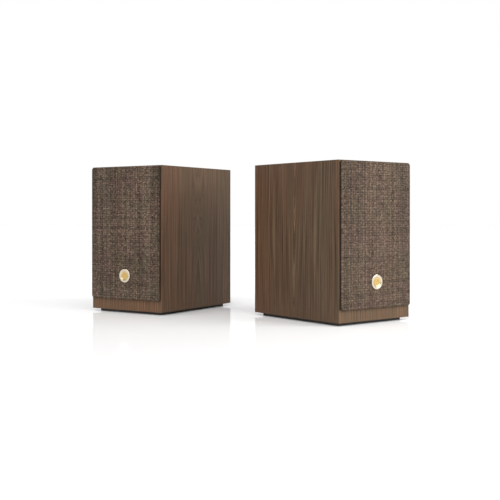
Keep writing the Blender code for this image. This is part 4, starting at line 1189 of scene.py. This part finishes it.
def build_amplifier(speaker):
    """The amplifier: its board on posts, a transformer, four capacitors, and a finned heat sink."""
    low, high = speaker.span("amplifier_board")
    middle = (low.z + high.z) / 2
    back = speaker.span("rear_panel")[1].y - 0.0300
    seat = back - BOARD
    board = block((low.x, seat, low.z), (high.x, back, high.z))
    speaker.piece("amplifier_board", board, "solder_mask", edge=0.0002)
    places = [(x, 0, middle + z) for x in (-0.0425, 0.0425) for z in (-0.018, 0.043)]
    posts = [peg(place, FOOT, back, high.y, steps=24) for place in places]
    speaker.piece("amplifier_posts", posts, "zinc_steel")
    core_z, core_front = middle - 0.026, seat - 0.0297
    width, height, clearance = 0.007, 0.022, 0.001
    core = bar(-0.024, core_z, 0.036, 0.036, core_front, seat)
    coils = []
    for x in (-0.0325, -0.0155):
        core = combined(core, bar(x, core_z, width, height, core_front - PAST, seat - 0.004))
        coils.append(bar(x, core_z, width - clearance, height - clearance, core_front + 0.003, seat - 0.005))
    speaker.piece("transformer_core", core, "transformer_steel", edge=0.0004)
    speaker.piece("transformer_winding", coils, "coil_copper", edge=0.0015, segments=4)
    places = [(x, 0, middle + z) for x in (0.010, 0.032) for z in (-0.036, -0.014)]
    cans = [capacitor(place, "Y", seat - 0.0257, seat, 0.0093) for place in places]
    speaker.piece("amplifier_capacitors", cans, "capacitor_sleeve")
    sink_front, half, fins = seat - 0.0237, 0.040, 8
    sink = block((-half, sink_front, middle + 0.006), (half, seat, middle + 0.010))
    for i in range(fins):
        left = -half + 2 * half * i / fins
        fin = block((left, sink_front, middle + 0.009), (left + 0.004, seat, middle + 0.036))
        sink = combined(sink, fin, "UNION")
    speaker.piece("heat_sink", sink, "heat_sink_aluminium", edge=0.0003)


# Stage


def build_floor():
    shape = bmesh.new()
    bmesh.ops.create_grid(shape, x_segments=1, y_segments=1, size=12.0)
    floor = new_object("floor", new_mesh("floor", shape))
    white = Shader("floor_white", (0.95, 0.95, 0.95), 0.08, Specular_IOR_Level=0.024)
    white.polish(white.noise(white.scaled(3), 3.0), 0.75, 1.25)
    floor.data.materials.append(white.material)


def add_light(name, kind, place, target, power, **settings):
    data = bpy.data.lights.new(name, kind)
    data.energy = power
    for setting, value in settings.items():
        setattr(data, setting, value)
    light = new_object(name, data)
    light.location = place
    aim = Vector(target) - Vector(place)
    light.rotation_euler = aim.to_track_quat("-Z", "Y").to_euler()


def build_lights():
    """A white room that is dimmer overhead, an even light from above, and a large soft box on the right."""
    world = bpy.data.worlds.new("studio")
    room = Tree(world)
    background = room.tree.nodes["Background"]
    height = room.split(room.add("ShaderNodeTexCoord", output="Generated"))[2]
    room.feed(background, "Color", (1.0, 1.0, 1.0, 1.0))
    room.feed(background, "Strength", room.span(height, 1.0, 0.30, 0.26, 0.60))
    bpy.context.scene.world = world
    add_light("above", "SUN", (-0.3, -1.5, 2.0), (0, 0, 0), 2.6, angle=math.radians(80))
    add_light("right", "AREA", (2.1, -0.8, 1.2), (0.15, 0, 0.13), 42, shape="RECTANGLE", size=1.4, size_y=1.4)
    bpy.context.scene.view_settings.view_transform = "Standard"


def build_camera():
    data = bpy.data.cameras.new("camera")
    data.lens = LENS
    data.sensor_width = SENSOR
    data.shift_y = SHIFT_UP
    camera = new_object("camera", data)
    camera.location = CAMERA_PLACE
    camera.rotation_euler = (math.pi / 2, 0, 0)
    bpy.context.scene.camera = camera


def build_speaker(side, shared):
    speaker = Speaker(side, {**shared, **own_finishes(side)})
    common = (build_cabinet, build_base, build_cloth, build_frame, build_badge, build_baffle, build_woofer)
    common += (build_tweeter, build_front_screws, build_pad, build_wiring)
    own = {"left": (build_passive_back, build_crossover), "right": (build_active_back, build_amplifier)}
    for build in (*common, *own[side]):
        build(speaker)


def main():
    build_camera()
    build_lights()
    build_floor()
    shared = shared_finishes()
    for side in SIDES:
        build_speaker(side, shared)


main()
